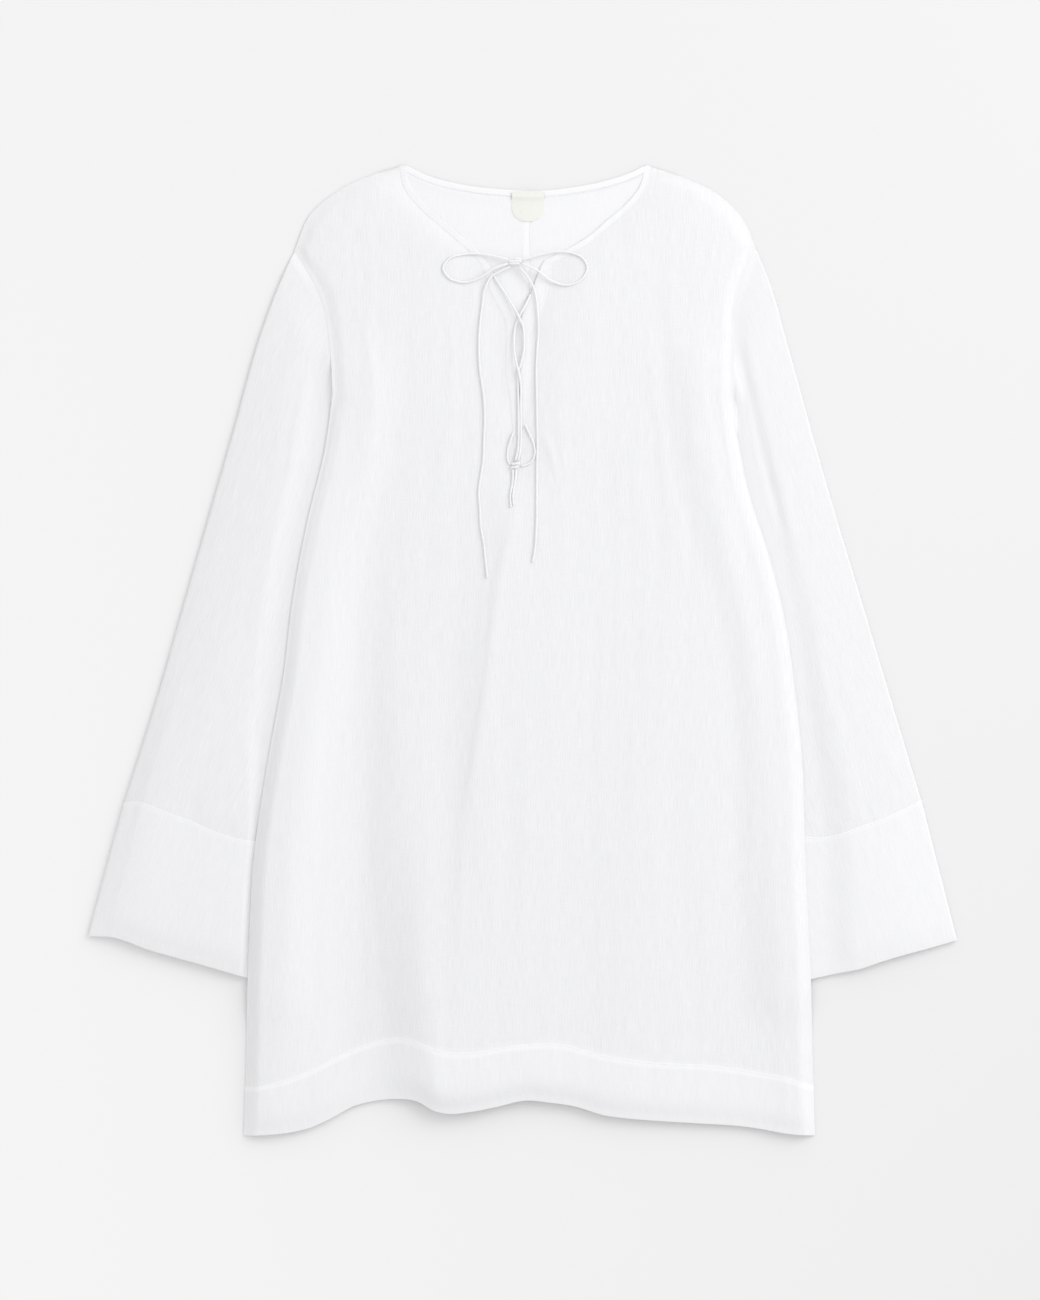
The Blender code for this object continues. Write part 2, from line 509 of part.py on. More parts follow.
def band_between(first, second, columns=3):
    """Plan grid between two curves of equal count."""
    across = np.linspace(0.0, 1.0, columns)[None, :, None]
    return (1 - across) * first[:, None, :] + across * second[:, None, :]


def front_neck_edge(side):
    if side == "left":
        return FRONT_NECK_LEFT, neck_edge(FRONT_NECK_LEFT, SHOULDER_LEFT, 1.0, FRONT_NECK_ROWS), 1.0
    return FRONT_NECK_RIGHT, neck_edge(FRONT_NECK_RIGHT, SHOULDER_RIGHT, -1.0, FRONT_NECK_ROWS), -1.0


def back_neck_edge(side):
    """The same for one back panel, from the centre-back seam."""
    sign = -1.0 if side == "left" else 1.0
    neck = np.array(BACK_NECK)
    seam_x = BACK_SEAM_X + sign * SEAM_GAP / 2
    start = (seam_x, eased(seam_x, neck[:, 0], neck[:, 1]))
    half = neck[sign * (neck[:, 0] - seam_x) > BACK_NECK_CLEAR]
    half = np.vstack([[start], half if side == "right" else half[::-1]])
    edge = neck_edge(half, SHOULDER_LEFT if side == "left" else SHOULDER_RIGHT, -sign, BACK_NECK_STEPS)
    edge[0, 0] = seam_x
    return half, edge, -sign


def slit_edge(table, column):
    """One edge of a slit band, neck to foot, as plan points."""
    rows = np.array(table, float)
    return np.column_stack([rows[:, column], rows[:, 0]])


def panel_slit_edge(side, start):
    """Edge of the front panel beside a slit band, from the neck down to the slit's foot."""
    sign, table = (-1.0, SLIT_LEFT) if side == "left" else (1.0, SLIT_RIGHT)
    band = slit_edge(table, 1) + (sign * SEAM_GAP, 0.0)
    band[0] = start
    return along(np.vstack([band[:-1], [SLIT_FOOT]]), np.linspace(0.0, 1.0, SLIT_ROWS + 1))


def slit_band(side, neck):
    """Plan grid of a slit band, from the end of the neck binding down to the slit's foot."""
    towards, table = (1.0, SLIT_LEFT) if side == "left" else (-1.0, SLIT_RIGHT)
    steps = SLIT_ROWS * BINDING_FINER
    outer = on_chords(panel_slit_edge(side, front_neck_edge(side)[1][0]), steps)
    outer = moved_sideways(outer, towards * CHORD_GAP)
    inner = along(slit_edge(table, 2), np.linspace(0.0, 1.0, steps + 1))
    outer[0] = neck[0, -1] - (0.0, CHORD_GAP)
    inner[0] = neck[0, 0] - (0.0, CHORD_GAP)
    # The band ends where the closed end of the slit grows too narrow for it
    return band_between(outer, inner)[:-BAND_ROWS_SHORT]


def front_half(side):
    """Plan grid of half the front panel: its inner edge is the neck, the slit and the centre."""
    left = side == "left"
    neck = front_neck_edge(side)[1]
    seam = by_x(HEM_SEAM, hem_columns(side, PANEL_ACROSS))
    centre = along((SLIT_FOOT, seam[0]), np.linspace(0.0, 1.0, BODY_ROWS + 1))
    inner = np.vstack([neck[::-1], panel_slit_edge(side, neck[0])[1:], centre[1:]])
    shoulder = (tuple(neck[-1]),) + (SHOULDER_LEFT if left else SHOULDER_RIGHT)[1:]
    top = along(shoulder, np.linspace(0.0, 1.0, PANEL_ACROSS + 1))
    outer = body_side(ARMHOLE_LEFT if left else ARMHOLE_RIGHT, SIDE_LEFT if left else SIDE_RIGHT,
                      tuple(seam[-1]), len(inner) - 1)
    return coons(top, seam, inner, outer)


def back_half(side):
    """Plan grid of one back panel, on its side of the centre-back seam."""
    left = side == "left"
    top = with_shoulder(back_neck_edge(side)[1], SHOULDER_LEFT if left else SHOULDER_RIGHT, BACK_ACROSS)
    seam = by_x(HEM_SEAM, back_hem_columns(side))
    rows = FRONT_NECK_ROWS + SLIT_ROWS + BODY_ROWS
    inner = along((top[0], seam[0]), np.linspace(0.0, 1.0, rows + 1))
    outer = body_side(ARMHOLE_LEFT if left else ARMHOLE_RIGHT, SIDE_LEFT if left else SIDE_RIGHT,
                      tuple(seam[-1]), rows)
    return coons(top, seam, inner, outer)


def hem_grid(columns, shorter):
    """Plan grid of a hem, from just under its seam to its free edge."""
    upper = by_x(HEM_SEAM, columns) - (0.0, SEAM_GAP)
    share = (columns - columns[0]) / (columns[-1] - columns[0])
    edge_x = HEM_EDGE[0][0] + share * (HEM_EDGE[-1][0] - HEM_EDGE[0][0])
    lower = by_x(HEM_EDGE, edge_x) + (0.0, shorter)
    down = np.linspace(0.0, 1.0, HEM_ROWS + 1)[:, None, None]
    return (1 - down) * upper[None] + down * lower[None]


def make_body():
    """Front panel in one piece, two back panels and the two hems."""
    add_cloth("front_panel", [front_half("left"), front_half("right")], front_under,
              lambda x, y: rise_of(WALL, front_under, x, y), "voile")
    for side in ("left", "right"):
        add_cloth(f"back_{side}_panel", [back_half(side)], back_under,
                  lambda x, y: np.full_like(x, WALL), "voile")
    columns = np.concatenate([hem_columns("left", PANEL_ACROSS)[::-1], hem_columns("right", PANEL_ACROSS)[1:]])
    add_cloth("front_hem", [hem_grid(columns, 0.0)], front_under,
              lambda x, y: rise_of(DOUBLE_WALL, front_under, x, y), "double voile")
    back_columns = np.concatenate([back_hem_columns("left")[::-1], back_hem_columns("right")])
    add_cloth("back_hem", [hem_grid(back_columns, BACK_HEM_SHORTER)], back_under,
              lambda x, y: np.full_like(x, WALL), "double voile")


def make_bindings():
    """Bound neckline in a back and two front lengths, and the two bands of the slit."""
    halves = []
    for side in ("left", "right"):
        half, edge, towards = back_neck_edge(side)
        grid = neck_band(half, edge, towards)
        halves.append(grid[:round(len(grid) * (1.0 - BACK_BINDING_END))])
    back = np.vstack([halves[0][::-1], halves[1][1:]])
    add_cloth("neck_binding_back", [back], back_under, lambda x, y: np.full_like(x, WALL + BINDING_RISE),
              "double voile")
    for side in ("left", "right"):
        neck = neck_band(*front_neck_edge(side))
        add_cloth(f"neck_binding_{side}", [neck], front_under,
                  lambda x, y: rise_of(WALL, front_under, x, y) + BINDING_RISE, "double voile")
        add_cloth(f"slit_binding_{side}", [slit_band(side, neck)], front_under,
                  lambda x, y: rise_of(WALL, front_under, x, y) + SLIT_BAND_RISE, "double voile")


def tube_height(s, w, puffs, edge_height):
    """Height of a flattened tube: a skewed arch over `edge_height`, its crest from the table."""
    table = np.array(puffs)
    crest = eased(s, table[:, 0], table[:, 1])
    place = eased(s, table[:, 0], table[:, 2])
    # Either side of the crest is stretched so that `place` comes to the middle of the arch
    skewed = np.where(w < place, 0.5 * w / place, 0.5 + 0.5 * (w - place) / (1.0 - place))
    return edge_height + (crest - edge_height) * np.sin(np.pi * skewed) ** ARCH_POWER


def add_tube(name, plan, height, wall, material):
    """A flattened cloth tube: an outer ring and an inner ring at each station, open at both ends."""
    rows, columns = plan.shape[:2]
    width = np.linalg.norm(plan[:, -1] - plan[:, 0], axis=1)
    w = np.linspace(0.0, 1.0, columns)
    outer_rings = []
    inner_rings = []
    for i in range(rows):
        inset = wall / width[i]
        nearer = np.clip(w, inset, 1.0 - inset)
        inside = np.stack([np.interp(nearer, w, plan[i, :, axis]) for axis in (0, 1)], axis=-1)
        slope = np.gradient(height[i], w * width[i])
        ceiling = np.maximum(height[i] - wall * np.sqrt(1.0 + slope**2), wall + SEAM_GAP)
        ring = np.vstack([np.column_stack([plan[i], height[i]]),
                          np.column_stack([plan[i], np.zeros(columns)])[::-1]])
        lining = np.vstack([np.column_stack([inside, ceiling]),
                            np.column_stack([inside, np.full(columns, wall)])[::-1]])
        outer_rings.append(ring)
        inner_rings.append(lining)
    around = 2 * columns
    points = np.vstack(outer_rings + inner_rings)
    inner_first = rows * around
    faces = grid_faces(rows, around, closed=True)
    faces += [face[::-1] for face in grid_faces(rows, around, inner_first, closed=True)]
    for row in (0, rows - 1):
        for j in range(around):
            k = (j + 1) % around
            a, b = row * around, inner_first + row * around
            faces.append((a + j, b + j, b + k, a + k))
    return add_solid(name, points, faces, material)


def sleeve_plan(side):
    """Plan grid of a sleeve: rows from the armhole to the cuff, columns from the outer edge inwards."""
    left = side == "left"
    shares = np.linspace(0.0, 1.0, SLEEVE_ROWS + 1)
    across = np.linspace(0.0, 1.0, SLEEVE_ACROSS + 1)
    # The armhole follows the straight lines between the body's own corners
    corners = along(ARMHOLE_LEFT if left else ARMHOLE_RIGHT, np.linspace(0.0, 1.0, ARMHOLE_ROWS + 1))
    armhole = moved_sideways(on_chords(corners, SLEEVE_ACROSS), CHORD_GAP * (-1.0 if left else 1.0))
    outer = along(SLEEVE_OUTER_LEFT if left else SLEEVE_OUTER_RIGHT, shares)
    inner = along(SLEEVE_INNER_LEFT if left else SLEEVE_INNER_RIGHT, shares)
    cuff = along(CUFF_SEAM_LEFT if left else CUFF_SEAM_RIGHT, across)
    outer[0], inner[0] = armhole[0], armhole[-1]
    outer[-1], inner[-1] = cuff[0], cuff[-1]
    return coons(armhole, cuff, outer, inner, SLEEVE_LEAN)


def under_body(plan, height, covered_height, underarm_y):
    """Flatten a tube to `covered_height` where the body lies on it."""
    outside = -inside_edge(plan[..., 0], plan[..., 1])
    covered = covered_height + np.maximum(height - covered_height, 0.0) * smoothstep(
        (outside - COVERED_MARGIN) / COVERED_REACH)
    share = 1.0 - smoothstep((plan[..., 1] - underarm_y - UNDERARM_MARGIN) / UNDERARM_BLEND)
    return height + (np.minimum(covered, height) - height) * share


def make_sleeve(side):
    """Sleeve from the armhole to the cuff seam, and the double cuff below it."""
    left = side == "left"
    plan = sleeve_plan(side)
    rows, columns = plan.shape[:2]
    s = np.linspace(0.0, 1.0, rows)[:, None] * np.ones((1, columns))
    w = np.linspace(0.0, 1.0, columns)[None, :] * np.ones((rows, 1))
    free = tube_height(s, w, PUFF_LEFT if left else PUFF_RIGHT, TUBE_EDGE_HEIGHT)
    meeting = np.maximum(front_top(plan[..., 0], plan[..., 1]), TUBE_EDGE_HEIGHT)
    height = meeting + (free - meeting) * smoothstep(s / ARMHOLE_BLEND)
    underarm_y = (ARMHOLE_LEFT if left else ARMHOLE_RIGHT)[-1][1]
    height = under_body(plan, height, TUBE_EDGE_HEIGHT, underarm_y)
    add_tube(f"{side}_sleeve", plan, height, WALL, "voile")

    across = np.linspace(0.0, 1.0, SLEEVE_ACROSS + 1)
    seam = along(CUFF_SEAM_LEFT if left else CUFF_SEAM_RIGHT, across) - (0.0, SEAM_GAP)
    edge = along(CUFF_EDGE_LEFT if left else CUFF_EDGE_RIGHT, across)
    down = np.linspace(0.0, 1.0, CUFF_ROWS + 1)[:, None, None]
    cuff_plan = (1 - down) * seam[None] + down * edge[None]
    s = np.linspace(0.0, 1.0, CUFF_ROWS + 1)[:, None] * np.ones((1, columns))
    w = across[None, :] * np.ones((CUFF_ROWS + 1, 1))
    cuff_height = tube_height(s, w, CUFF_PUFF_LEFT if left else CUFF_PUFF_RIGHT, CUFF_EDGE_HEIGHT)
    cuff_height = under_body(cuff_plan, cuff_height, CUFF_EDGE_HEIGHT, underarm_y)
    add_tube(f"{side}_cuff", cuff_plan, cuff_height, DOUBLE_WALL, "double voile")


def make_label():
    """Bare neck label with a rounded lower end, lying on the back panel and its binding."""
    down = np.linspace(0.0, 1.0, LABEL_ROWS + 1) * (LABEL_STRAIGHT + LABEL_ROUND)
    past = np.clip(down - LABEL_STRAIGHT, 0.0, LABEL_TIP_SHARE * LABEL_ROUND) / LABEL_ROUND
    half = LABEL_HALF_WIDTH - LABEL_ROUND * (1.0 - np.sqrt(1.0 - past**2))
    across = np.linspace(-1.0, 1.0, LABEL_COLUMNS + 1)
    x = LABEL_CENTRE_X + half[:, None] * across[None, :]
    y = LABEL_TOP_Y - down[:, None] * np.ones((1, LABEL_COLUMNS + 1))
    neck = np.array(BACK_NECK)

    def under(px, py):
        from_edge = eased(px, neck[:, 0], neck[:, 1]) - py
        over_binding = 1.0 - smoothstep((from_edge - LABEL_STEP_START) / LABEL_STEP_REACH)
        return back_top(px, py) + SEAM_GAP + BINDING_RISE * over_binding

    add_cloth("neck_label", [np.stack([x, y], axis=-1)], under,
              lambda px, py: np.full_like(px, LABEL_WALL), "label")


def make_cord(name):
    """One length of cord: a round tube along its route over the front."""
    route = np.array(CORD_ROUTES[name], float)
    route[:, 2] += front_top(route[:, 0], route[:, 1])
    steps = max(4, round(length_of(route) / CORD_STEP))
    points = along(route, np.linspace(0.0, 1.0, steps + 1))
    between = points[1:-1]
    lowest = front_top(between[:, 0], between[:, 1]) + ON_CLOTH
    between[:, 2] = np.maximum(between[:, 2], lowest)
    curve = bpy.data.curves.new(name, "CURVE")
    curve.dimensions = "3D"
    curve.bevel_depth = CORD / 2 * MM
    curve.bevel_resolution = 2
    curve.use_fill_caps = True
    spline = curve.splines.new("POLY")
    spline.points.add(len(points) - 1)
    for place, point in zip(spline.points, points * MM):
        place.co = (*point, 1.0)
    curve.materials.append(finish("cord"))
    cord = bpy.data.objects.new(name, curve)
    bpy.context.collection.objects.link(cord)


def make_knot(name):
    """A knot as a rounded lump of the cord's cloth."""
    (x, y, rise), (half_x, half_y, half_z) = KNOTS[name]
    shaped = bmesh.new()
    bmesh.ops.create_uvsphere(shaped, u_segments=KNOT_SEGMENTS, v_segments=KNOT_RINGS, radius=1.0)
    centre_z = float(front_top(np.array(x), np.array(y))) + rise
    for point in shaped.verts:
        point.co = ((x + point.co.x * half_x) * MM, (y + point.co.y * half_y) * MM,
                    (centre_z + point.co.z * half_z) * MM)
    mesh = bpy.data.meshes.new(name)
    shaped.to_mesh(mesh)
    shaped.free()
    mesh.shade_smooth()
    mesh.materials.append(finish("cord"))
    bpy.context.collection.objects.link(bpy.data.objects.new(name, mesh))


def main():
    for thing in list(bpy.data.objects):
        bpy.data.objects.remove(thing, do_unlink=True)
    make_body()
    make_bindings()
    make_sleeve("left")
    make_sleeve("right")
    make_label()
    for name in CORD_ROUTES:
        make_cord(name)
    for name in KNOTS:
        make_knot(name)


main()
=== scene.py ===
# %% [markdown]
# # A beach dress laid flat
#
# The object is an A-line tunic dress of white, semi-sheer, crinkled cotton voile. It lies on
# its back on a plain surface and is seen from straight above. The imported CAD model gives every
# panel its place. Here each panel is made again as thin cloth, with creases, seams and
# stitches.
#
# X runs across the dress, +Y towards the neck and +Z up. The tables are in millimetres.

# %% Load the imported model
import math

import bpy
import numpy as np
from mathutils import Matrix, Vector


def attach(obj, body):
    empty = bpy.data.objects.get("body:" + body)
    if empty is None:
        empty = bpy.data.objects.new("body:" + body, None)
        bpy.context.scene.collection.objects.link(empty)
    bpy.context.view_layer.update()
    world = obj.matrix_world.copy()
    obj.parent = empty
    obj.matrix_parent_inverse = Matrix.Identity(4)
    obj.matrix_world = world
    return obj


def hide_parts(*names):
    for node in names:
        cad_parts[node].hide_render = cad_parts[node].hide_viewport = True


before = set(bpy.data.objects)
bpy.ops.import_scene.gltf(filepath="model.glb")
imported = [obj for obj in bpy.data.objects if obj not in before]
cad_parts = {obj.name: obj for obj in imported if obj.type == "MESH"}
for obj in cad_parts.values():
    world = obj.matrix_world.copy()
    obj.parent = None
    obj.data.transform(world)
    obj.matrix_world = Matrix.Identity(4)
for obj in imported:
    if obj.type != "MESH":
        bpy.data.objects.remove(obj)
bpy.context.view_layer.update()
MM = 0.001

# %% [markdown]
# ## Camera
#
# A dress laid flat is photographed from straight above. An orthographic camera would show no
# perspective at all, which a real picture always has. A long lens three metres up keeps the
# outline almost free of it. The lens is worked out from the strip of floor that the picture's
# long side has to show.

# %% Camera straight above
CAMERA_HEIGHT = 3.0
SENSOR = 36.0
FRAME_HEIGHT = 1.170
CAMERA_X = -2.25 * MM


def add_object(name, data):
    """A new object in the scene, at the origin."""
    made = bpy.data.objects.new(name, data)
    bpy.context.scene.collection.objects.link(made)
    return made


camera_data = bpy.data.cameras.new("camera")
camera_data.type = "PERSP"
camera_data.sensor_fit = "AUTO"
camera_data.sensor_width = SENSOR
camera_data.lens = SENSOR * CAMERA_HEIGHT / FRAME_HEIGHT
camera_data.dof.use_dof = False
camera = add_object("camera", camera_data)
camera.location = (CAMERA_X, 0.0, CAMERA_HEIGHT)
bpy.context.scene.camera = camera
print("lens", round(camera_data.lens, 1), "mm")

# %% [markdown]
# ## Curves from tables
#
# A dressmaker draws a panel with a few measured points and a smooth line through them. Curve
# objects could hold such lines, but tables can also be asked for heights and distances. The
# helpers below do the same: `eased` is a smooth curve through values, `along` walks a plan
# curve at even steps, `smoothstep` fades one shape into the next and `bell` raises a soft
# ridge.

# %% Smooth steps and smooth curves
FINE_STEPS = 40


def smoothstep(share):
    """Rise from 0 to 1 as 3t^2 - 2t^3, level at both ends."""
    share = np.clip(share, 0.0, 1.0)
    return share * share * (3.0 - 2.0 * share)


def bell(distance, width):
    """The bell curve exp(-(d/w)^2)."""
    return np.exp(-(distance / width)**2)


def hermite(t, span, start, end, leaving, arriving):
    """Cubic Hermite: (2t^3-3t^2+1) a + (t^3-2t^2+t) s m + (3t^2-2t^3) b + (t^3-t^2) s n."""
    near = (2 * t**3 - 3 * t**2 + 1) * start + (t**3 - 2 * t**2 + t) * span * leaving
    far = (3 * t**2 - 2 * t**3) * end + (t**3 - t**2) * span * arriving
    return near + far


def eased(at, knots, values):
    """Smooth curve through values at rising knots: a Hermite cubic in each gap."""
    knots = np.asarray(knots, float)
    values = np.asarray(values, float)
    at = np.clip(np.asarray(at, float), knots[0], knots[-1])
    slopes = np.gradient(values, knots)
    cell = np.clip(np.searchsorted(knots, at) - 1, 0, len(knots) - 2)
    span = knots[cell + 1] - knots[cell]
    t = (at - knots[cell]) / span
    return hermite(t, span, values[cell], values[cell + 1], slopes[cell], slopes[cell + 1])


def on_curve(curve, at):
    """Second coordinate of a curve at places along its first, which rises."""
    return eased(at, curve[:, 0], curve[:, 1])


print("smoothstep of a half is", smoothstep(0.5))

# %% Walking along a line
def walked(points, axis=0):
    """Distance walked along a line of points, or along every line of a grid of them."""
    steps = np.linalg.norm(np.diff(points, axis=axis), axis=-1)
    return np.insert(np.cumsum(steps, axis=axis), 0, 0.0, axis=axis)


def read_at(points, reach, at):
    """Points of a line at given distances along it."""
    return np.stack([np.interp(at, reach, column) for column in points.T], axis=-1)


def along(points, shares):
    """Points at the given shares of the length of the smooth curve through `points`."""
    points = np.asarray(points, float)
    reach = walked(points)
    fine = np.linspace(0.0, reach[-1], FINE_STEPS * len(points))
    dense = np.stack([eased(fine, reach, column) for column in points.T], axis=-1)
    reach = walked(dense)
    return read_at(dense, reach, np.asarray(shares, float) * reach[-1])


def even(points, steps):
    """The same curve at `steps` even steps."""
    return along(points, np.linspace(0.0, 1.0, steps + 1))


def length_of(points):
    """Sum of the distances between neighbouring points of a dense line."""
    return float(np.linalg.norm(np.diff(points, axis=0), axis=1).sum())


def sideways(points, distance):
    """A plan curve moved to the left of its direction: p + d (-ty, tx)."""
    tangent = np.gradient(np.asarray(points, float), axis=0)
    tangent /= np.linalg.norm(tangent, axis=1, keepdims=True)
    return points + distance * np.stack([-tangent[:, 1], tangent[:, 0]], axis=1)


print("a unit square is", length_of([(0, 0), (1, 0), (1, 1), (0, 1), (0, 0)]), "round")

# %% [markdown]
# ## The outline of the dress
#
# These are the seams and edges of the body as plan curves: the shoulders, the armholes, the
# flared sides, the round neck, the deep slit and the wavy hem. They are the CAD model's own
# tables, so each fine panel lands where its solid lies.

# %% Tables of the body's outline
SHOULDER = {
    "left": ((-105.75, 436.5), (-128, 430), (-164, 414), (-191, 391.5), (-205, 360)),
    "right": ((110.25, 436.5), (144.5, 425), (178, 408.6), (200, 385), (209.5, 363))}
ARMHOLE = {
    "left": ((-205, 360), (-180.5, 315), (-173, 270), (-170.5, 229.5)),
    "right": ((209.5, 363), (195, 324), (190, 270), (190.5, 225), (192, 200))}
SIDE = {
    "left": ((-170.5, 229.5), (-177.75, 180), (-193, 117), (-206.5, 45), (-215.5, -27),
             (-225.5, -81), (-234.5, -135), (-240.8, -180), (-246, -270),
             (-250.7, -436.5)),
    "right": ((192, 200), (203, 144), (223, 81), (236, 27), (245, -36),
              (251.5, -99), (254, -180), (259, -292.5), (263, -436.5))}


print("across the shoulders", SHOULDER["right"][-1][0] - SHOULDER["left"][-1][0], "mm")

# %% Necklines and slit
FRONT_NECK = {
    "left": ((-31, 348), (-40, 359), (-56.5, 373.5), (-69.5, 385), (-87.5, 400.5),
             (-101.5, 418.5), (-105.75, 436.5)),
    "right": ((20, 351), (44.5, 363), (61, 373.5), (74, 385), (92, 400.5),
              (106, 418.5), (110.25, 436.5))}
BACK_NECK = np.array([
    (-105.75, 436.5), (-83, 426), (-47, 417.6), (-11, 414), (7, 413),
    (43, 416), (70, 421), (106, 434), (110.25, 436.5)])
# Slit bands: y, then x of the band's outer and inner edge
SLIT = {
    "left": ((343, -35, -28.5), (337.5, -32.5, -25.5), (322.2, -27.4, -16.7),
             (308, -20.5, -9.5), (297, -15, -4.9), (283.5, -13.5, -7.7),
             (270, -14, -7.7), (249, -14, -4.6), (229.5, -11.2, -4.2),
             (207, -8.6, -3.8), (190, -7.6, -3.4), (169, -5.4, -3.1)),
    "right": ((345, 25.2, 16.6), (337.5, 24.6, 13.6), (322.2, 21.6, 7.9), (308, 17.2, 2.2),
              (297, 12.4, -1.5), (283.5, 7.4, 1.3), (270, 6.7, 1.3), (249, 6.7, -2.6),
              (229.5, 4, -2.3), (207, 2.6, -2), (190, 1.6, -1.7), (169, -0.5, -1.4))}
SLIT_FOOT = (-2.25, 166.0)
print("slit", round(SLIT["right"][0][0] - SLIT_FOOT[1]), "mm deep")

# %% Centre lines and hem
BODY_CENTRE_X = -2.25
BACK_SEAM_X = 4.0
HEM_SEAM = np.array([
    (-249.3, -394), (-234.5, -391.5), (-209, -385), (-187, -376), (-169, -367),
    (-142, -355.5), (-110, -348.5), (-65, -360.5), (-38, -360), (-23, -357),
    (7, -353.7), (34, -353.7), (65, -362), (106, -369), (178, -374.4),
    (214, -380), (236, -384), (261.9, -393)])
HEM_EDGE = np.array([
    (-250.7, -436.5), (-209, -433), (-191, -429), (-173, -421), (-151, -409.5),
    (-133, -405), (-115, -403), (-94, -405), (-79, -413), (-67, -415.5),
    (-47, -414), (-25, -410), (4, -404), (25, -406), (47, -409.5),
    (74, -417.6), (92, -420), (128, -423), (160, -425), (196, -427.5),
    (214, -430), (236, -434), (263, -436.5)])
SIDES = ("left", "right")
OUTWARDS = {"left": -1.0, "right": 1.0}
print("hem", round(HEM_EDGE[-1][0] - HEM_EDGE[0][0], 1), "mm wide")

# %% [markdown]
# ## How high the cloth lies
#
# Cloth on a table is a landscape of low hills: soft folds fan out from the shoulders and grow
# towards the hem. A cloth simulation could drape them, but would put them where it likes. Each
# crest and hollow is a line down the dress with a place and a height at nine stations, and at
# every y one smooth curve joins them across x. A big fold left of the middle and the shallow
# ones right of it come from this table.

# %% Folds of the front
FOLD_STATIONS = (436.5, 315, 225, 117, 0, -135, -270, -369, -436.5)
FOLD_X = np.array([
    (-200, -178, -158, -173, -191, -207, -218, -223, -225),
    (-164, -151, -135, -150, -165, -176, -183, -186, -188),
    (-110, -101, -104, -122, -138, -142, -138, -130, -127),
    (-83, -81, -86, -100, -112, -104, -92, -83, -81),
    (-56, -54, -52, -44, -53, -63, -67, -63, -61),
    (-29, -29, -25, -13, -29, -44, -54, -50, -46),
    (-16, -16, -11, 2, 5, -7, -13, -14, -14),
    (7, 7, 9, 20, 29, 16, 7, 4, 4),
    (52, 52, 52, 56, 61, 56, 50, 47, 47),
    (88, 88, 90, 92, 97, 106, 97, 88, 86),
    (124, 128, 133, 142, 151, 155, 155, 153, 151),
    (160, 157, 160, 176, 196, 203, 205, 212, 214),
    (191, 177, 176, 196, 222, 238, 245, 248, 249)])
FOLD_HEIGHT = np.array([
    (1, 2, 2.6, 3.4, 4.6, 6.4, 8.4, 8.6, 8.4),
    (1, 1.8, 2.4, 2.8, 3.6, 4.6, 5.8, 5.6, 5.6),
    (1, 1.3, 1.7, 1.6, 1.3, 1.3, 1.6, 2, 2.2),
    (1, 1.3, 1.7, 2.2, 3.4, 6.4, 12.6, 16.8, 18),
    (1, 1.2, 1.4, 1.6, 2.4, 5.6, 12.2, 16.2, 17.4),
    (1, 1.2, 1.6, 3.8, 5.8, 8.8, 12.4, 15.4, 16.4),
    (1, 1.2, 1.5, 3.4, 5.6, 8, 10.8, 13, 13.6),
    (1, 1.2, 1.7, 3.2, 5.4, 7.8, 10.2, 12.4, 13.2),
    (1, 1.2, 1.7, 2.8, 4.6, 6.4, 8.2, 9.6, 10.2),
    (1, 1.4, 2, 3.4, 5.6, 7.4, 8.6, 9.6, 10),
    (1, 2, 2.8, 4.2, 5.8, 6.4, 6.4, 6.8, 7),
    (1.2, 2.8, 3.4, 3.8, 4.4, 4.6, 4.8, 5.2, 5.4),
    (1.2, 2.6, 2.6, 2.4, 2.6, 4.4, 7.6, 7.8, 7.8)])


def fold_height(x, y):
    """Hermite curve across x through the crests and hollows, whose places are eased down y."""
    x, y = np.broadcast_arrays(np.asarray(x, float), np.asarray(y, float))
    rows = FOLD_STATIONS[::-1]
    places = np.array([eased(y, rows, line[::-1]) for line in FOLD_X])
    heights = np.array([eased(y, rows, line[::-1]) for line in FOLD_HEIGHT])
    at = np.clip(x, places[0], places[-1])
    slopes = np.zeros_like(heights)
    slopes[1:-1] = (heights[2:] - heights[:-2]) / (places[2:] - places[:-2])
    result = np.array(heights[0])
    for k in range(len(places) - 1):
        span = places[k + 1] - places[k]
        t = np.clip((at - places[k]) / span, 0.0, 1.0)
        here = hermite(t, span, heights[k], heights[k + 1], slopes[k], slopes[k + 1])
        result = np.where(at >= places[k], here, result)
    return result


print("folds up to", FOLD_HEIGHT.max(), "mm high")

# %% Distance from the side edges of the body
PROBE = 0.5
SIDE_STEPS = 24


def side_table(side):
    """Rising y and matching x of one whole side, sampled closely from hem to neck point."""
    parts = [even(line, SIDE_STEPS)[1:] for line in (SHOULDER[side], ARMHOLE[side], SIDE[side])]
    rows = np.vstack([[SHOULDER[side][0]]] + parts)[::-1]
    return rows[:, 1], rows[:, 0]


SIDE_TABLE = {side: side_table(side) for side in SIDES}


def inside_edge(x, y):
    """Distance from the nearer side edge: the gap along x over the root of 1 + lean^2."""
    reach = []
    for side in SIDES:
        rows, places = SIDE_TABLE[side]
        ahead, behind = eased(y + PROBE, rows, places), eased(y - PROBE, rows, places)
        lean = (ahead - behind) / (2 * PROBE)
        gap = OUTWARDS[side] * (eased(y, rows, places) - x)
        reach.append(gap / np.sqrt(1.0 + lean * lean))
    return np.minimum(*reach)


print("middle to side", round(float(inside_edge(BODY_CENTRE_X, 0.0))), "mm")

# %% [markdown]
# ## Layers of cloth
#
# The back lies on the surface, except near the sides, where it lies on the sleeves' inner
# edges. The front lies on the back with a little air between them, and comes down onto it at
# the side seams, where the two are sewn together. Each height is built on the one below it, so
# that no layer can cut through another.

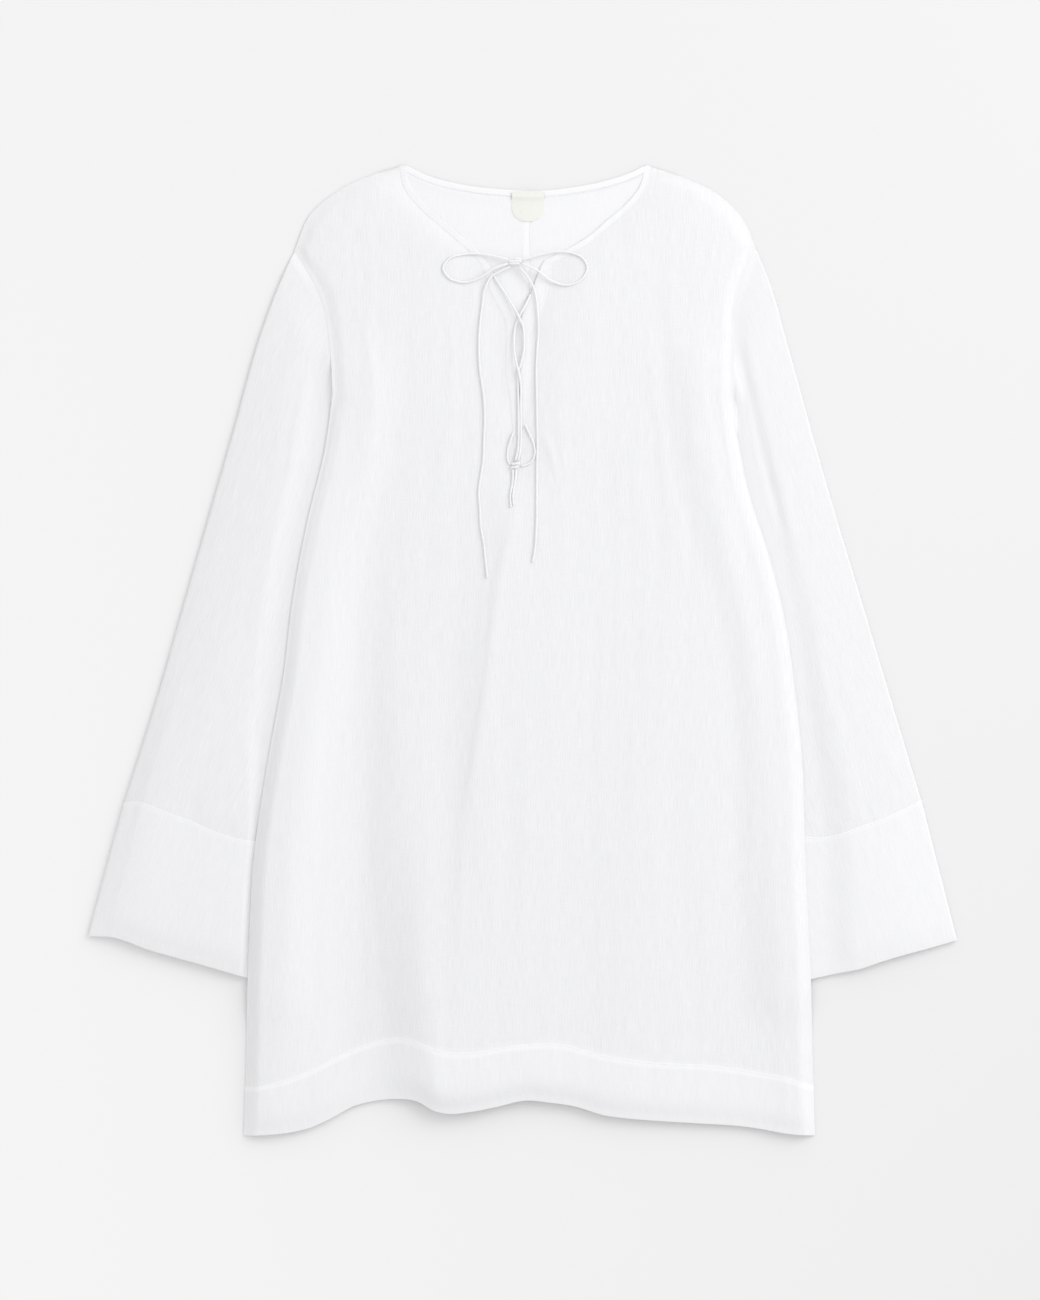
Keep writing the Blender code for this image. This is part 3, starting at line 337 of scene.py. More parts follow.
# %% Heights of back and front
CLOTH = 0.45
SEWN_STACK = 2.2 * CLOTH
LEAST_AIR = 0.2
CAD_WALL = 1.0
SEAM_GAP = 0.3
LAYER_AIR = 0.8
AIR_REACH = 30.0
SIDE_LIFT = 3.7
LIFT_REACH = 30.0
LIFT_FADE = 34.0
LIFT_TOP = 232.0
LIFT_TOP_FADE = 70.0
LIFT_BOTTOM = -304.0
LIFT_BOTTOM_FADE = 45.0
EDGE_ROLL = 13.0
SEWN_REACH = 5.0
SHOULDER_EASE = 6.0
SHOULDER_Y = 330.0
SHOULDER_FADE = 40.0
NECK_LIFT = 0.75
NECK_LIFT_REACH = 9.0


def neck_rise(x, y):
    """Small rise of the back along its neck edge, where the binding passes below it."""
    below = on_curve(BACK_NECK, x) - y
    return NECK_LIFT * (1.0 - smoothstep((below - NECK_LIFT_REACH / 2) / NECK_LIFT_REACH))


def back_under(x, y):
    """Underside of the back: zero, lifted near the sides where the sleeves lie below."""
    across = 1.0 - smoothstep((inside_edge(x, y) - LIFT_REACH) / LIFT_FADE)
    upper = 1.0 - smoothstep((y - LIFT_TOP) / LIFT_TOP_FADE)
    lower = 1.0 - smoothstep((LIFT_BOTTOM - y) / LIFT_BOTTOM_FADE)
    return SIDE_LIFT * across * upper * lower


OPENING = {side: np.array([(y, inner) for y, _, inner in SLIT[side]][::-1]
                          + [(y, x) for x, y in FRONT_NECK[side]]) for side in SIDES}
OPENING_SINK = 2.6
SINK_REACH = 24.0
ARMHOLE_LIFT = 1.5
ARMHOLE_TOP = 358.0
ARMHOLE_TOP_FADE = 25.0
ARMHOLE_FOOT = 205.0
ARMHOLE_FOOT_FADE = 30.0


def from_opening(x, y):
    """Distance outside the neck and slit opening: sqrt(dx^2 + dy^2), zero inside it."""
    edges = [on_curve(OPENING[side], y) for side in SIDES]
    outside = np.maximum(np.maximum(edges[0] - x, x - edges[1]), 0.0)
    return np.hypot(outside, np.maximum(SLIT_FOOT[1] - y, 0.0))


def armhole_lift(y):
    """Rise of the armhole seam, where the sleeve's arch carries it: a hump between two heights."""
    lower = smoothstep((y - ARMHOLE_FOOT) / ARMHOLE_FOOT_FADE)
    return ARMHOLE_LIFT * lower * smoothstep((ARMHOLE_TOP - y) / ARMHOLE_TOP_FADE)


def front_level(x, y):
    """Top of the front without creases: back + air + folds, down to the back at all its edges."""
    reach = inside_edge(x, y)
    back = back_under(x, y)
    air = LAYER_AIR * smoothstep(reach / AIR_REACH)
    folds = fold_height(x, y) * smoothstep(reach / EDGE_ROLL)
    sink = OPENING_SINK * bell(from_opening(x, y), SINK_REACH)
    sewn = back + SEWN_STACK + armhole_lift(y)
    free = np.maximum(back + 2 * CAD_WALL + SEAM_GAP + air + folds - sink, sewn + LEAST_AIR)
    sewn_reach = SEWN_REACH + SHOULDER_EASE * smoothstep((y - SHOULDER_Y) / SHOULDER_FADE)
    return sewn + (free - sewn) * smoothstep(reach / sewn_reach)


print("front over the middle", round(float(front_level(0.0, 0.0)), 1), "mm high")

# %% [markdown]
# ## Creases
#
# Crinkled voile is full of fine, long wrinkles that run with the grain. A bump in the material
# could hint at them, but the mesh itself should have them. Smooth random relief gives them: a
# table of random heights, seeded so that each run is the same, is read between its corners,
# with cells a few millimetres wide and very long. A few wider creases are placed one by one, as
# soft ridges and valleys along chosen lines.

# %% Random relief and placed creases
RELIEF_SIZE = 256


def relief(u, v, seed):
    """Value noise from -1 to 1: four random corners of a unit cell joined by smoothsteps."""
    table = np.random.default_rng(seed).uniform(-1.0, 1.0, (RELIEF_SIZE, RELIEF_SIZE))
    i, j = np.floor(u).astype(int), np.floor(v).astype(int)
    a, b = smoothstep(u - i), smoothstep(v - j)
    i, j = i % RELIEF_SIZE, j % RELIEF_SIZE
    k, m = (i + 1) % RELIEF_SIZE, (j + 1) % RELIEF_SIZE
    low = table[i, j] * (1 - a) + table[k, j] * a
    high = table[i, m] * (1 - a) + table[k, m] * a
    return low * (1 - b) + high * b


print("relief at one place", round(float(relief(0.5, 0.5, 1)), 3))

# %% Wrinkles and puckers
# Width and length of a wrinkle's cell, and its height, in millimetres
WRINKLES = ((4.6, 46.0, 0.10), (8.5, 90.0, 0.17), (17.0, 150.0, 0.26), (34.0, 70.0, 0.22))
SWAY, SWAY_WIDE, SWAY_LONG = 5.0, 60.0, 80.0


def wrinkles(across, down, seed):
    """Sum of stretched relief: each layer has its own cell and height, swayed sideways."""
    sway = SWAY * relief(across / SWAY_WIDE, down / SWAY_LONG, seed)
    total = np.zeros(np.broadcast(across, down).shape)
    for number, (wide, long, height) in enumerate(WRINKLES):
        total += height * relief((across + sway) / wide, down / long, seed + 10 + number)
    return total


PUCKER = 0.32
PUCKER_REACH = 8.0
PUCKER_WIDE, PUCKER_LONG = 5.5, 30.0
CREASE_START, CREASE_END = 0.18, 0.3


def puckers(along_seam, from_seam, seed):
    """Small gathers beside a seam: relief along it, times (d/r) exp(1 - d/r) away from it."""
    away = np.abs(from_seam) / PUCKER_REACH
    gathers = relief(along_seam / PUCKER_WIDE, from_seam / PUCKER_LONG, seed)
    return PUCKER * gathers * away * np.exp(1.0 - away)


print("wrinkles of up to", sum(height for _, _, height in WRINKLES), "mm")

# %% Placed creases
def crease(x, y, line, width):
    """Bell curve exp(-(d/w)^2) of the distance to a polyline, faded towards both its ends."""
    line = np.asarray(line, float)
    total = length_of(line)
    nearest = np.full(np.shape(x), 1e9)
    share = np.zeros(np.shape(x))
    before = 0.0
    for start, end in zip(line[:-1], line[1:]):
        step = end - start
        size = float(np.hypot(*step))
        t = ((x - start[0]) * step[0] + (y - start[1]) * step[1]) / size**2
        t = np.clip(t, 0.0, 1.0)
        distance = np.hypot(x - start[0] - t * step[0], y - start[1] - t * step[1])
        closer = distance < nearest
        nearest = np.where(closer, distance, nearest)
        share = np.where(closer, (before + t * size) / total, share)
        before += size
    fade = smoothstep(share / CREASE_START) * smoothstep((1.0 - share) / CREASE_END)
    return bell(nearest, width) * fade


# Lines of the placed creases: points, half width, height (below zero for a valley)
FRONT_CREASES = (
    (((-3, 140), (-10, 112), (-23, 57), (-28, -3), (-33.5, -45),
      (-45.5, -114), (-62, -180)), 6.5, 0.9),
    (((-10, 140), (-15, 112), (-30, 57), (-34.4, -3), (-39.8, -45),
      (-51.5, -114), (-67, -180)), 2.8, -0.5),
    (((16, 198), (26, 176), (33, 150)), 2.6, 0.8),
    (((-206, 300), (-190, 262), (-173, 236)), 5, -0.4),
    (((190, 300), (204, 180), (226, 60)), 6, 0.5),
    (((-150, 330), (-132, 240), (-140, 120)), 6, 0.45),
    (((110, 300), (126, 180), (150, 40)), 7, 0.4),
    (((-60, 290), (-66, 200), (-84, 90)), 6, 0.35))
CREASE_FADE = 16.0
HEM_PUCKER = 0.6
BACK_RISE = 1.0
BACK_CRUMPLE = 0.25
print(len(FRONT_CREASES), "placed creases")

# %% Tops of front and back
def front_top(x, y):
    """Top of the front: its level plus wrinkles and placed creases, none at the seams."""
    reach = inside_edge(x, y)
    detail = wrinkles(x, y, 1)
    for line, width, height in FRONT_CREASES:
        detail = detail + height * crease(x, y, line, width)
    detail = detail + HEM_PUCKER * puckers(x, y - on_curve(HEM_SEAM, x), 71)
    return front_level(x, y) + detail * smoothstep(reach / CREASE_FADE)


def back_top(x, y):
    """Top of the back: one cloth over its underside, with faint wrinkles inside the body."""
    quiet = BACK_CRUMPLE * smoothstep((y - 300.0) / 60.0)
    detail = quiet * (1.0 + wrinkles(x, y, 50)) * smoothstep(inside_edge(x, y) / CREASE_FADE)
    below_slit = BACK_RISE * bell(from_opening(x, y), SINK_REACH)
    below_slit = below_slit * smoothstep((345.0 - y) / 30.0)
    return back_under(x, y) + CLOTH + neck_rise(x, y) + detail + below_slit


print("main fold", round(float(front_top(-80.0, -400.0)), 1), "mm high near the hem")

# %% [markdown]
# ## Cloth as a mesh
#
# A piece of cloth is a grid of points with a quad between each four. The helpers put the points
# into a mesh, give it a UV map in metres of cloth, so that the weave has its real size on every
# panel, and thicken it inwards with Solidify, which is simpler than building both faces. They
# also say which body the piece rides on and which finish it takes.

# %% Helpers that make one piece
materials = {}


def numbered(rows, columns):
    """Numbers of the points of a grid, row by row."""
    return np.arange(rows * columns).reshape(rows, columns)


def lifted(plan, z):
    """Plan points and their heights as 3-D points."""
    return np.concatenate([plan, z[..., None]], axis=-1)


def grid_quads(index, turned=False, closed=False):
    """Quads between neighbouring rows and columns of a grid of point numbers."""
    if closed:
        index = np.hstack([index, index[:, :1]])
    corners = (index[:-1, :-1], index[1:, :-1], index[1:, 1:], index[:-1, 1:])
    quads = np.stack(corners, axis=-1).reshape(-1, 4)
    return quads[:, ::-1] if turned else quads


print(len(grid_quads(numbered(3, 3))), "quads join nine points")

# %% From points to a piece
def cut_edges(mesh):
    """Mark the edges that only one face uses as sharp, so a cut edge has no soft rim."""
    of_corner = np.empty(len(mesh.loops), np.int32)
    mesh.loops.foreach_get("edge_index", of_corner)
    faces_at = np.bincount(of_corner, minlength=len(mesh.edges))
    sharp = mesh.attributes.new("sharp_edge", "BOOLEAN", "EDGE")
    sharp.data.foreach_set("value", faces_at == 1)


def add_mesh(name, points, faces, slot, uv=None, doubled_and_painted_light=None, crisp=True):
    """A mesh object at the origin from points in millimetres, riding on the root body."""
    mesh = bpy.data.meshes.new(name)
    faces = faces.tolist() if isinstance(faces, np.ndarray) else faces
    mesh.from_pydata((np.asarray(points) * MM).tolist(), [], faces)
    if uv is not None:
        corner = np.empty(len(mesh.loops), np.int32)
        mesh.loops.foreach_get("vertex_index", corner)
        layer = mesh.uv_layers.new(name="cloth")
        layer.data.foreach_set("uv", (np.asarray(uv)[corner] * MM).astype(np.float32).ravel())
    if doubled_and_painted_light is not None:
        layer = mesh.attributes.new("doubled_and_painted_light", "FLOAT", "POINT")
        layer.data.foreach_set("value", np.asarray(doubled_and_painted_light, np.float32).ravel())
    mesh.polygons.foreach_set("use_smooth", np.full(len(mesh.polygons), True))
    if crisp:
        cut_edges(mesh)
    mesh.materials.append(materials[slot])
    piece = add_object(name, mesh)
    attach(piece, "root")
    return piece


def thicken(piece, thickness=CLOTH):
    """Solidify inwards from the outer face of the cloth, with a closed rim."""
    wall = piece.modifiers.new("cloth thickness", "SOLIDIFY")
    wall.thickness = thickness * MM
    wall.offset = -1.0
    wall.use_rim = True
    wall.use_even_offset = False
    return piece


def tidy_grid(points, faces, *values):
    """Keep only the points that faces use, and renumber the faces."""
    used, numbers = np.unique(faces, return_inverse=True)
    kept = [value[used] for value in values]
    return (points[used], numbers.reshape(faces.shape), *kept)


print("cloth", CLOTH, "mm thick")

# %% [markdown]
# ## Finishes
#
# Voile is a plain weave of fine, slightly uneven yarns. A picture of cloth could be laid on it,
# but noise has no seams and any size. So the material is a stretched noise for the slubs, a
# finer crossing weave, and a soft bump from both. The single cloth is a little see-through.
# Where two layers lie together, as in hems and seam allowances, it is whiter and denser. The same
# whiteness is also painted on single cloth as highlights, and its strength on some seams paints
# shade. Cotton has a faint sheen at grazing angles.

# %% Node helpers
def set_inputs(node, values):
    """Plain values on a node's own sockets."""
    for socket, value in values.items():
        node.inputs[socket].default_value = value


def new_material(name, roughness, sheen, alpha=1.0):
    """A Principled material; values that are the same all over stand on its own sockets."""
    material = bpy.data.materials.new(name)
    material.use_nodes = True
    shader = material.node_tree.nodes["Principled BSDF"]
    set_inputs(shader, {"Roughness": roughness, "Sheen Weight": sheen, "Sheen Roughness": 0.5,
                        "Specular IOR Level": 0.2, "Alpha": alpha})
    materials[name] = material
    return material.node_tree, shader


def cloth_uv(tree):
    """The cloth's UV map, in metres."""
    node = tree.nodes.new("ShaderNodeUVMap")
    node.uv_map = "cloth"
    return node.outputs["UV"]


def stretched_noise(tree, coordinates, scale, detail=3.0):
    """Noise read at coordinates that are scaled apart, so its grains are long and thin."""
    mapping = tree.nodes.new("ShaderNodeMapping")
    set_inputs(mapping, {"Scale": scale})
    noise = tree.nodes.new("ShaderNodeTexNoise")
    set_inputs(noise, {"Scale": 1.0, "Detail": detail, "Roughness": 0.55})
    tree.links.new(coordinates, mapping.inputs["Vector"])
    tree.links.new(mapping.outputs["Vector"], noise.inputs["Vector"])
    return noise.outputs["Fac"]


def ramp(tree, factor, stops):
    """Colour ramp with the given (place, colour) stops."""
    node = tree.nodes.new("ShaderNodeValToRGB")
    elements = node.color_ramp.elements
    elements[0].position, elements[0].color = stops[0]
    elements[1].position, elements[1].color = stops[-1]
    for place, colour in stops[1:-1]:
        elements.new(place).color = colour
    tree.links.new(factor, node.inputs["Fac"])
    return node.outputs["Color"]


def math_node(tree, operation, first, second):
    """One Math node; each input is a socket or a number."""
    node = tree.nodes.new("ShaderNodeMath")
    node.operation = operation
    for socket, value in zip(node.inputs, (first, second)):
        if isinstance(value, (int, float)):
            socket.default_value = value
        else:
            tree.links.new(value, socket)
    return node.outputs[0]


def add_bump(tree, shader, height, strength, distance):
    """Bump from a height socket; the distance is in metres."""
    bump = tree.nodes.new("ShaderNodeBump")
    set_inputs(bump, {"Strength": strength, "Distance": distance})
    tree.links.new(height, bump.inputs["Height"])
    tree.links.new(bump.outputs["Normal"], shader.inputs["Normal"])


def white_of(value, blue=0.013):
    """A near-white colour with a touch more blue, as optically whitened cotton has."""
    return (value, value, value + blue, 1.0)


print("a near white:", white_of(0.9))

# %% Voile and double voile
SLUBS = (1300.0, 55.0, 1.0)
WEFT = (90.0, 1900.0, 1.0)


def make_voile(name, dark, light, white, alpha):
    """Voile: stretched warp slubs and finer weft threads mixed, whiter where it is double and where
    light is painted.
    """
    tree, shader = new_material(name, 0.86, 0.18, alpha)
    warp = stretched_noise(tree, cloth_uv(tree), SLUBS)
    weft = stretched_noise(tree, cloth_uv(tree), WEFT)
    both = math_node(tree, "ADD", math_node(tree, "MULTIPLY", warp, 0.7),
                     math_node(tree, "MULTIPLY", weft, 0.3))
    colour = ramp(tree, both, ((0.36, white_of(dark)), (0.64, white_of(light))))
    # Whiter where the attribute says: double cloth, and painted highlights and shade
    extra = tree.nodes.new("ShaderNodeAttribute")
    extra.attribute_name = "doubled_and_painted_light"
    mix = tree.nodes.new("ShaderNodeMix")
    mix.data_type = "RGBA"
    mix.inputs[7].default_value = white_of(white)
    tree.links.new(extra.outputs["Fac"], mix.inputs[0])
    tree.links.new(colour, mix.inputs[6])
    tree.links.new(mix.outputs[2], shader.inputs["Base Color"])
    add_bump(tree, shader, both, 0.5, 0.0006)


make_voile("voile", 0.830, 0.892, 0.925, 0.92)
make_voile("double_voile", 0.80, 0.842, 0.87, 1.0)
print("voile:", ", ".join(materials))

# %% Cord and label
def make_grained(name, roughness, sheen, grains, detail, dark, light, strength, distance):
    """One stretched noise that gives a cloth both its colour and its bump."""
    tree, shader = new_material(name, roughness, sheen)
    grain = stretched_noise(tree, cloth_uv(tree), grains, detail)
    colour = ramp(tree, grain, ((0.35, dark), (0.65, light)))
    tree.links.new(colour, shader.inputs["Base Color"])
    add_bump(tree, shader, grain, strength, distance)


# Rolled cotton has slubs along the cord; ivory satin tape has fine threads and a smoother shine
make_grained("cord", 0.75, 0.25, (1500.0, 260.0, 1.0), 3.0, white_of(0.80), white_of(0.87),
             0.6, 0.0004)
make_grained("label", 0.5, 0.15, (320.0, 3600.0, 1.0), 2.0, (0.785, 0.79, 0.745, 1.0),
             (0.83, 0.835, 0.79, 1.0), 0.5, 0.0003)
print("finishes:", ", ".join(materials))

# %% [markdown]
# ## Front panel
#
# The front is cut in one piece with a deep slit. Its grid is two halves: each is a Coons patch
# between the shoulder, the side, the hem seam and an inner edge that follows the neckline, the
# slit and then the centre line. A filled outline would be quicker, but only a grid that follows
# its edges lets seams and folds run along its rows. Below the foot of the slit the halves share
# their centre points, so the cloth is whole there.

# %% Plan grid of half a front
PANEL_COLUMNS = 108
NECK_ROWS = 30
SLIT_ROWS = 40
BELOW_ROWS = 90
ARMHOLE_ROWS = 30
BINDING_WIDTH = 4.5
NECK_POINT_DROP = 1.5
HEM_CORNER_CLEAR = 20.0


def coons(top, bottom, inner, outer, across=None):
    """Coons patch: blend of the two sides plus blend of the two ends minus that of the corners."""
    across = np.linspace(0.0, 1.0, len(top)) if across is None else across
    u = across[None, :, None]
    v = np.linspace(0.0, 1.0, len(inner))[:, None, None]
    sides = (1 - u) * inner[:, None, :] + u * outer[:, None, :]
    ends = (1 - v) * top[None, :, :] + v * bottom[None, :, :]
    near = (1 - u) * (1 - v) * top[0] + u * (1 - v) * top[-1]
    far = (1 - u) * v * bottom[0] + u * v * bottom[-1]
    return sides + ends - near - far


def by_x(curve, x):
    """Points of a curve of rising x at the places x."""
    return np.column_stack([x, on_curve(curve, x)])


print("hem at the middle, y =", by_x(HEM_SEAM, np.zeros(1))[0, 1].round(1))

# %% Edges of the panels
def neck_edge(neck, shoulder, towards, steps):
    """Edge of a panel inside its neck binding, moved off the free neckline."""
    edge = sideways(even(neck, steps), towards * (BINDING_WIDTH + SEAM_GAP))
    outwards = np.sign(shoulder[0][0]) * (BINDING_WIDTH + SEAM_GAP)
    edge[-1] = (shoulder[0][0] + outwards, shoulder[0][1] - NECK_POINT_DROP)
    return edge


def slit_line(side, column):
    """Outer (1) or inner (2) edge of a slit band, neck to foot."""
    rows = np.array(SLIT[side])
    return np.column_stack([rows[:, column], rows[:, 0]])


def panel_slit(side, start, steps):
    """Edge of the front panel beside a slit band, from the neck to the slit's foot."""
    band = slit_line(side, 1) + (OUTWARDS[side] * SEAM_GAP, 0.0)
    band[0] = start
    return even(np.vstack([band[:-1], [SLIT_FOOT]]), steps)


def body_side(side, corner, rows, armhole_rows):
    """Outer edge of a body panel: armhole, then side seam down to the hem."""
    below = tuple(point for point in SIDE[side] if point[1] > corner[1] + HEM_CORNER_CLEAR)
    upper = even(ARMHOLE[side], armhole_rows)
    lower = even(below + (corner,), rows - armhole_rows)
    return np.vstack([upper, lower[1:]])


def hem_columns(side, steps, middle_x=BODY_CENTRE_X):
    """x places from the middle to one corner of the hem."""
    corner = HEM_SEAM[0][0] if side == "left" else HEM_SEAM[-1][0]
    return np.linspace(middle_x, corner, steps + 1)


def front_half(side):
    """Plan grid of half the front, columns from the inner edge outwards."""
    neck = neck_edge(FRONT_NECK[side], SHOULDER[side], -OUTWARDS[side], NECK_ROWS)
    seam = by_x(HEM_SEAM, hem_columns(side, PANEL_COLUMNS))
    centre = even((SLIT_FOOT, seam[0]), BELOW_ROWS)
    slit = panel_slit(side, neck[0], SLIT_ROWS)
    inner = np.vstack([neck[::-1], slit[1:], centre[1:]])
    top = even((tuple(neck[-1]),) + SHOULDER[side][1:], PANEL_COLUMNS)
    outer = body_side(side, tuple(seam[-1]), len(inner) - 1, ARMHOLE_ROWS)
    return coons(top, seam, inner, outer)


print("half a front:", front_half("right").shape[:2], "points")

# %% Front panel mesh
# Strength and reach of two painted highlights on the front cloth
NECK_PAINTED_HIGHLIGHT = 0.7
NECK_HIGHLIGHT_REACH = 16.0
LEFT_PAINTED_HIGHLIGHT = 0.4
LEFT_HIGHLIGHT_X = -182.0
LEFT_HIGHLIGHT_REACH = 30.0
HEM_SEAM_PALER = 0.5


def seam_strip(distance, wide, soft=1.2):
    """One inside a strip of that width along a seam, fading out over `soft`."""
    return 1.0 - smoothstep((distance - wide) / soft)


left_half = front_half("left")[:, ::-1]
right_half = front_half("right")
plan = np.hstack([left_half, right_half])
rows, columns = plan.shape[:2]
index = numbered(rows, columns)
foot = NECK_ROWS + SLIT_ROWS
middle = PANEL_COLUMNS + 1
index[foot:, middle] = index[foot:, middle - 1]
quads = np.vstack([grid_quads(index[:, :middle]), grid_quads(index[:, middle:])])
x, y = plan[..., 0].ravel(), plan[..., 1].ravel()
above_hem = y - on_curve(HEM_SEAM, x)
points = np.column_stack([x, y, front_top(x, y)])
# Painted highlights: beside the left of the neck and down the left, the cloth's colour is made
# paler
neck_highlight = NECK_PAINTED_HIGHLIGHT * bell(from_opening(x, y), NECK_HIGHLIGHT_REACH)
neck_highlight = neck_highlight * smoothstep((y - 350.0) / 30.0)
left_highlight = LEFT_PAINTED_HIGHLIGHT * bell(x - LEFT_HIGHLIGHT_X, LEFT_HIGHLIGHT_REACH)
left_highlight = left_highlight * smoothstep((230.0 - y) / 60.0)
doubled_and_painted_light = np.maximum(np.where(x < 0.0, neck_highlight, 0.0), left_highlight)
doubled_and_painted_light = np.maximum(doubled_and_painted_light, HEM_SEAM_PALER * seam_strip(above_hem, 1.0))
points, quads, uv, doubled_and_painted_light = tidy_grid(points, quads, np.column_stack([x, y]), doubled_and_painted_light)
front = thicken(add_mesh("front_cloth", points, quads, "voile", uv, doubled_and_painted_light))
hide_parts("front_panel")
turned = np.cross(uv[quads[:, 2]] - uv[quads[:, 0]], uv[quads[:, 3]] - uv[quads[:, 1]])
print("front:", len(quads), "quads, turned cells", int((turned <= 0).sum()))

# %% [markdown]
# ## Back panels
#
# The back is two panels that meet in a centre seam. They lie flat on the surface, and only
# their upper parts show, inside the neck opening. One mesh could stand for both, but a maker
# cuts two, and the felled seam shows best where one panel laps over the other.

# %% Back panels
BACK_COLUMNS = 60
BACK_NECK_STEPS = 30
BACK_NECK_CLEAR = 4.0
BACK_ALLOWANCE = 4.5
FELLED = 2.2
LAP_RISE = 0.5
LAP_RAMP = 1.5
# Painted highlight: the whole back is made halfway whiter, so it shows brighter inside the neck
# opening
BACK_PAINTED_HIGHLIGHT = 0.5


def back_neck_line(side):
    """The back's neckline from the centre seam to one neck point."""
    start = (BACK_SEAM_X, float(on_curve(BACK_NECK, BACK_SEAM_X)))
    half = BACK_NECK[OUTWARDS[side] * (BACK_NECK[:, 0] - BACK_SEAM_X) > BACK_NECK_CLEAR]
    return np.vstack([[start], half if side == "right" else half[::-1]])


def back_half(side):
    """Plan grid of one back panel from the centre seam outwards."""
    edge = neck_edge(back_neck_line(side), SHOULDER[side], -OUTWARDS[side], BACK_NECK_STEPS)
    edge[0, 0] = BACK_SEAM_X - OUTWARDS[side] * FELLED
    seam_steps = BACK_COLUMNS - BACK_NECK_STEPS
    shoulder = even((tuple(edge[-1]),) + SHOULDER[side][1:], seam_steps)
    top = np.vstack([edge, shoulder[1:]])
    seam = by_x(HEM_SEAM, hem_columns(side, BACK_COLUMNS, BACK_SEAM_X))
    rows = NECK_ROWS + SLIT_ROWS + BELOW_ROWS
    seam[0, 0] = top[0, 0]
    inner = even((top[0], seam[0]), rows)
    return coons(top, seam, inner, body_side(side, tuple(seam[-1]), rows, ARMHOLE_ROWS))


print("half a back:", back_half("right").shape[:2], "points")

# %% Back panel meshes
for side in SIDES:
    plan = back_half(side)
    if side == "left":
        plan = plan[:, ::-1]
    x, y = plan[..., 0], plan[..., 1]
    from_seam = np.abs(x - BACK_SEAM_X)
    height = back_top(x, y)
    if side == "left":
        height = height + LAP_RISE * smoothstep((x - BACK_SEAM_X + FELLED + LAP_RAMP) / LAP_RAMP)
    index = numbered(*x.shape)
    points = np.stack([x, y, height], axis=-1).reshape(-1, 3)
    # Whiter felled seam allowance, and a painted highlight over the whole back
    doubled_and_painted_light = np.maximum(seam_strip(from_seam, BACK_ALLOWANCE / 2), BACK_PAINTED_HIGHLIGHT).ravel()
    uv = np.column_stack([x.ravel(), y.ravel()])
    thicken(add_mesh(f"back_{side}_cloth", points, grid_quads(index), "voile", uv,
                                   doubled_and_painted_light, crisp=False))
    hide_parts(f"back_{side}_panel")
print("back panels:", index.size, "points each")

# %% [markdown]
# ## Deep double hem
#
# The hem is the cloth folded up and sewn down, so it is a band of two layers that ends below in
# a fold. Thick single cloth would look solid at the edge. Each band here is one strip: it runs
# down from the hem seam, turns round the fold and comes back up underneath.

# %% Hem bands
HEM_ROWS = 16
HEM_FOLD_ROWS = 5
HEM_GAP = 0.75
BACK_HEM_GAP = 0.85
BAND_CLOTH = 0.35
BAND_SEAM, BAND_SEAM_SOFT = 3.0, 1.5
HEM_RISE = 0.18
HEM_CALM = 0.55
DROOP_ABOVE = 2.4
EDGE_DROOP = 0.5
DROOP_REACH = 12.0
SEAM_LAP = 0.8
BACK_HEM_SHORTER = 3.0


def hem_strip(columns, shorter, top_of, gap):
    """Rows down to the fold, a half circle round it, and the same rows back underneath."""
    upper = by_x(HEM_SEAM, columns) + (0.0, SEAM_LAP)
    share = (columns - columns[0]) / (columns[-1] - columns[0])
    edge_x = HEM_EDGE[0][0] + share * (HEM_EDGE[-1][0] - HEM_EDGE[0][0])
    lower = by_x(HEM_EDGE, edge_x) + (0.0, shorter)
    down = np.linspace(0.0, 1.0, HEM_ROWS + 1)[:, None, None]
    plan = (1 - down) * upper[None] + down * lower[None]
    top = top_of(plan[..., 0], plan[..., 1])
    turn = np.linspace(0.0, math.pi, HEM_FOLD_ROWS + 2)[1:-1, None]
    round_y = lower[None, :, 1] - gap / 2 * np.sin(turn)
    round_x = np.repeat(lower[None, :, 0], HEM_FOLD_ROWS, axis=0)
    round_z = top[-1][None] - gap / 2 * (1 - np.cos(turn))
    fold = np.stack([round_x, round_y, round_z], axis=-1)
    outer = lifted(plan, top)
    inner = outer[::-1] - (0.0, 0.0, gap)
    return np.concatenate([outer, fold, inner])


print(2 * HEM_ROWS + 2 + HEM_FOLD_ROWS, "rows go round the hem")

# %% Front hem and back hem
def add_strip(name, strip, slot, node, thickness=CLOTH, turned=False, doubled_and_painted_light=None, closed=False):
    """Rows of 3-D points as cloth, its UV in lengths along them; a closed row goes all round."""
    across = walked(np.concatenate([strip, strip[:, :1]], axis=1), 1)
    across = across[:, 1:] if closed else across[:, :-1]
    uv = np.stack([across, walked(strip)], axis=-1).reshape(-1, 2)
    quads = grid_quads(numbered(*strip.shape[:2]), turned, closed)
    piece = thicken(add_mesh(name, strip.reshape(-1, 3), quads, slot, uv, doubled_and_painted_light), thickness)
    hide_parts(node)
    return piece


def front_hem_top(x, y):
    """The front's level with calmer wrinkles: two layers crease less than one."""
    reach = inside_edge(x, y)
    above = on_curve(HEM_SEAM, x) - y
    calm = HEM_CALM + (1.0 - HEM_CALM) * bell(above, 6.0)
    detail = calm * wrinkles(x, y, 1) + puckers(x, above, 72)
    top = front_level(x, y) + HEM_RISE + detail * smoothstep(reach / CREASE_FADE)
    to_edge = y - on_curve(HEM_EDGE, x)
    droop = EDGE_DROOP * bell(to_edge, DROOP_REACH)
    return top - droop * np.maximum(top - DROOP_ABOVE, 0.0)


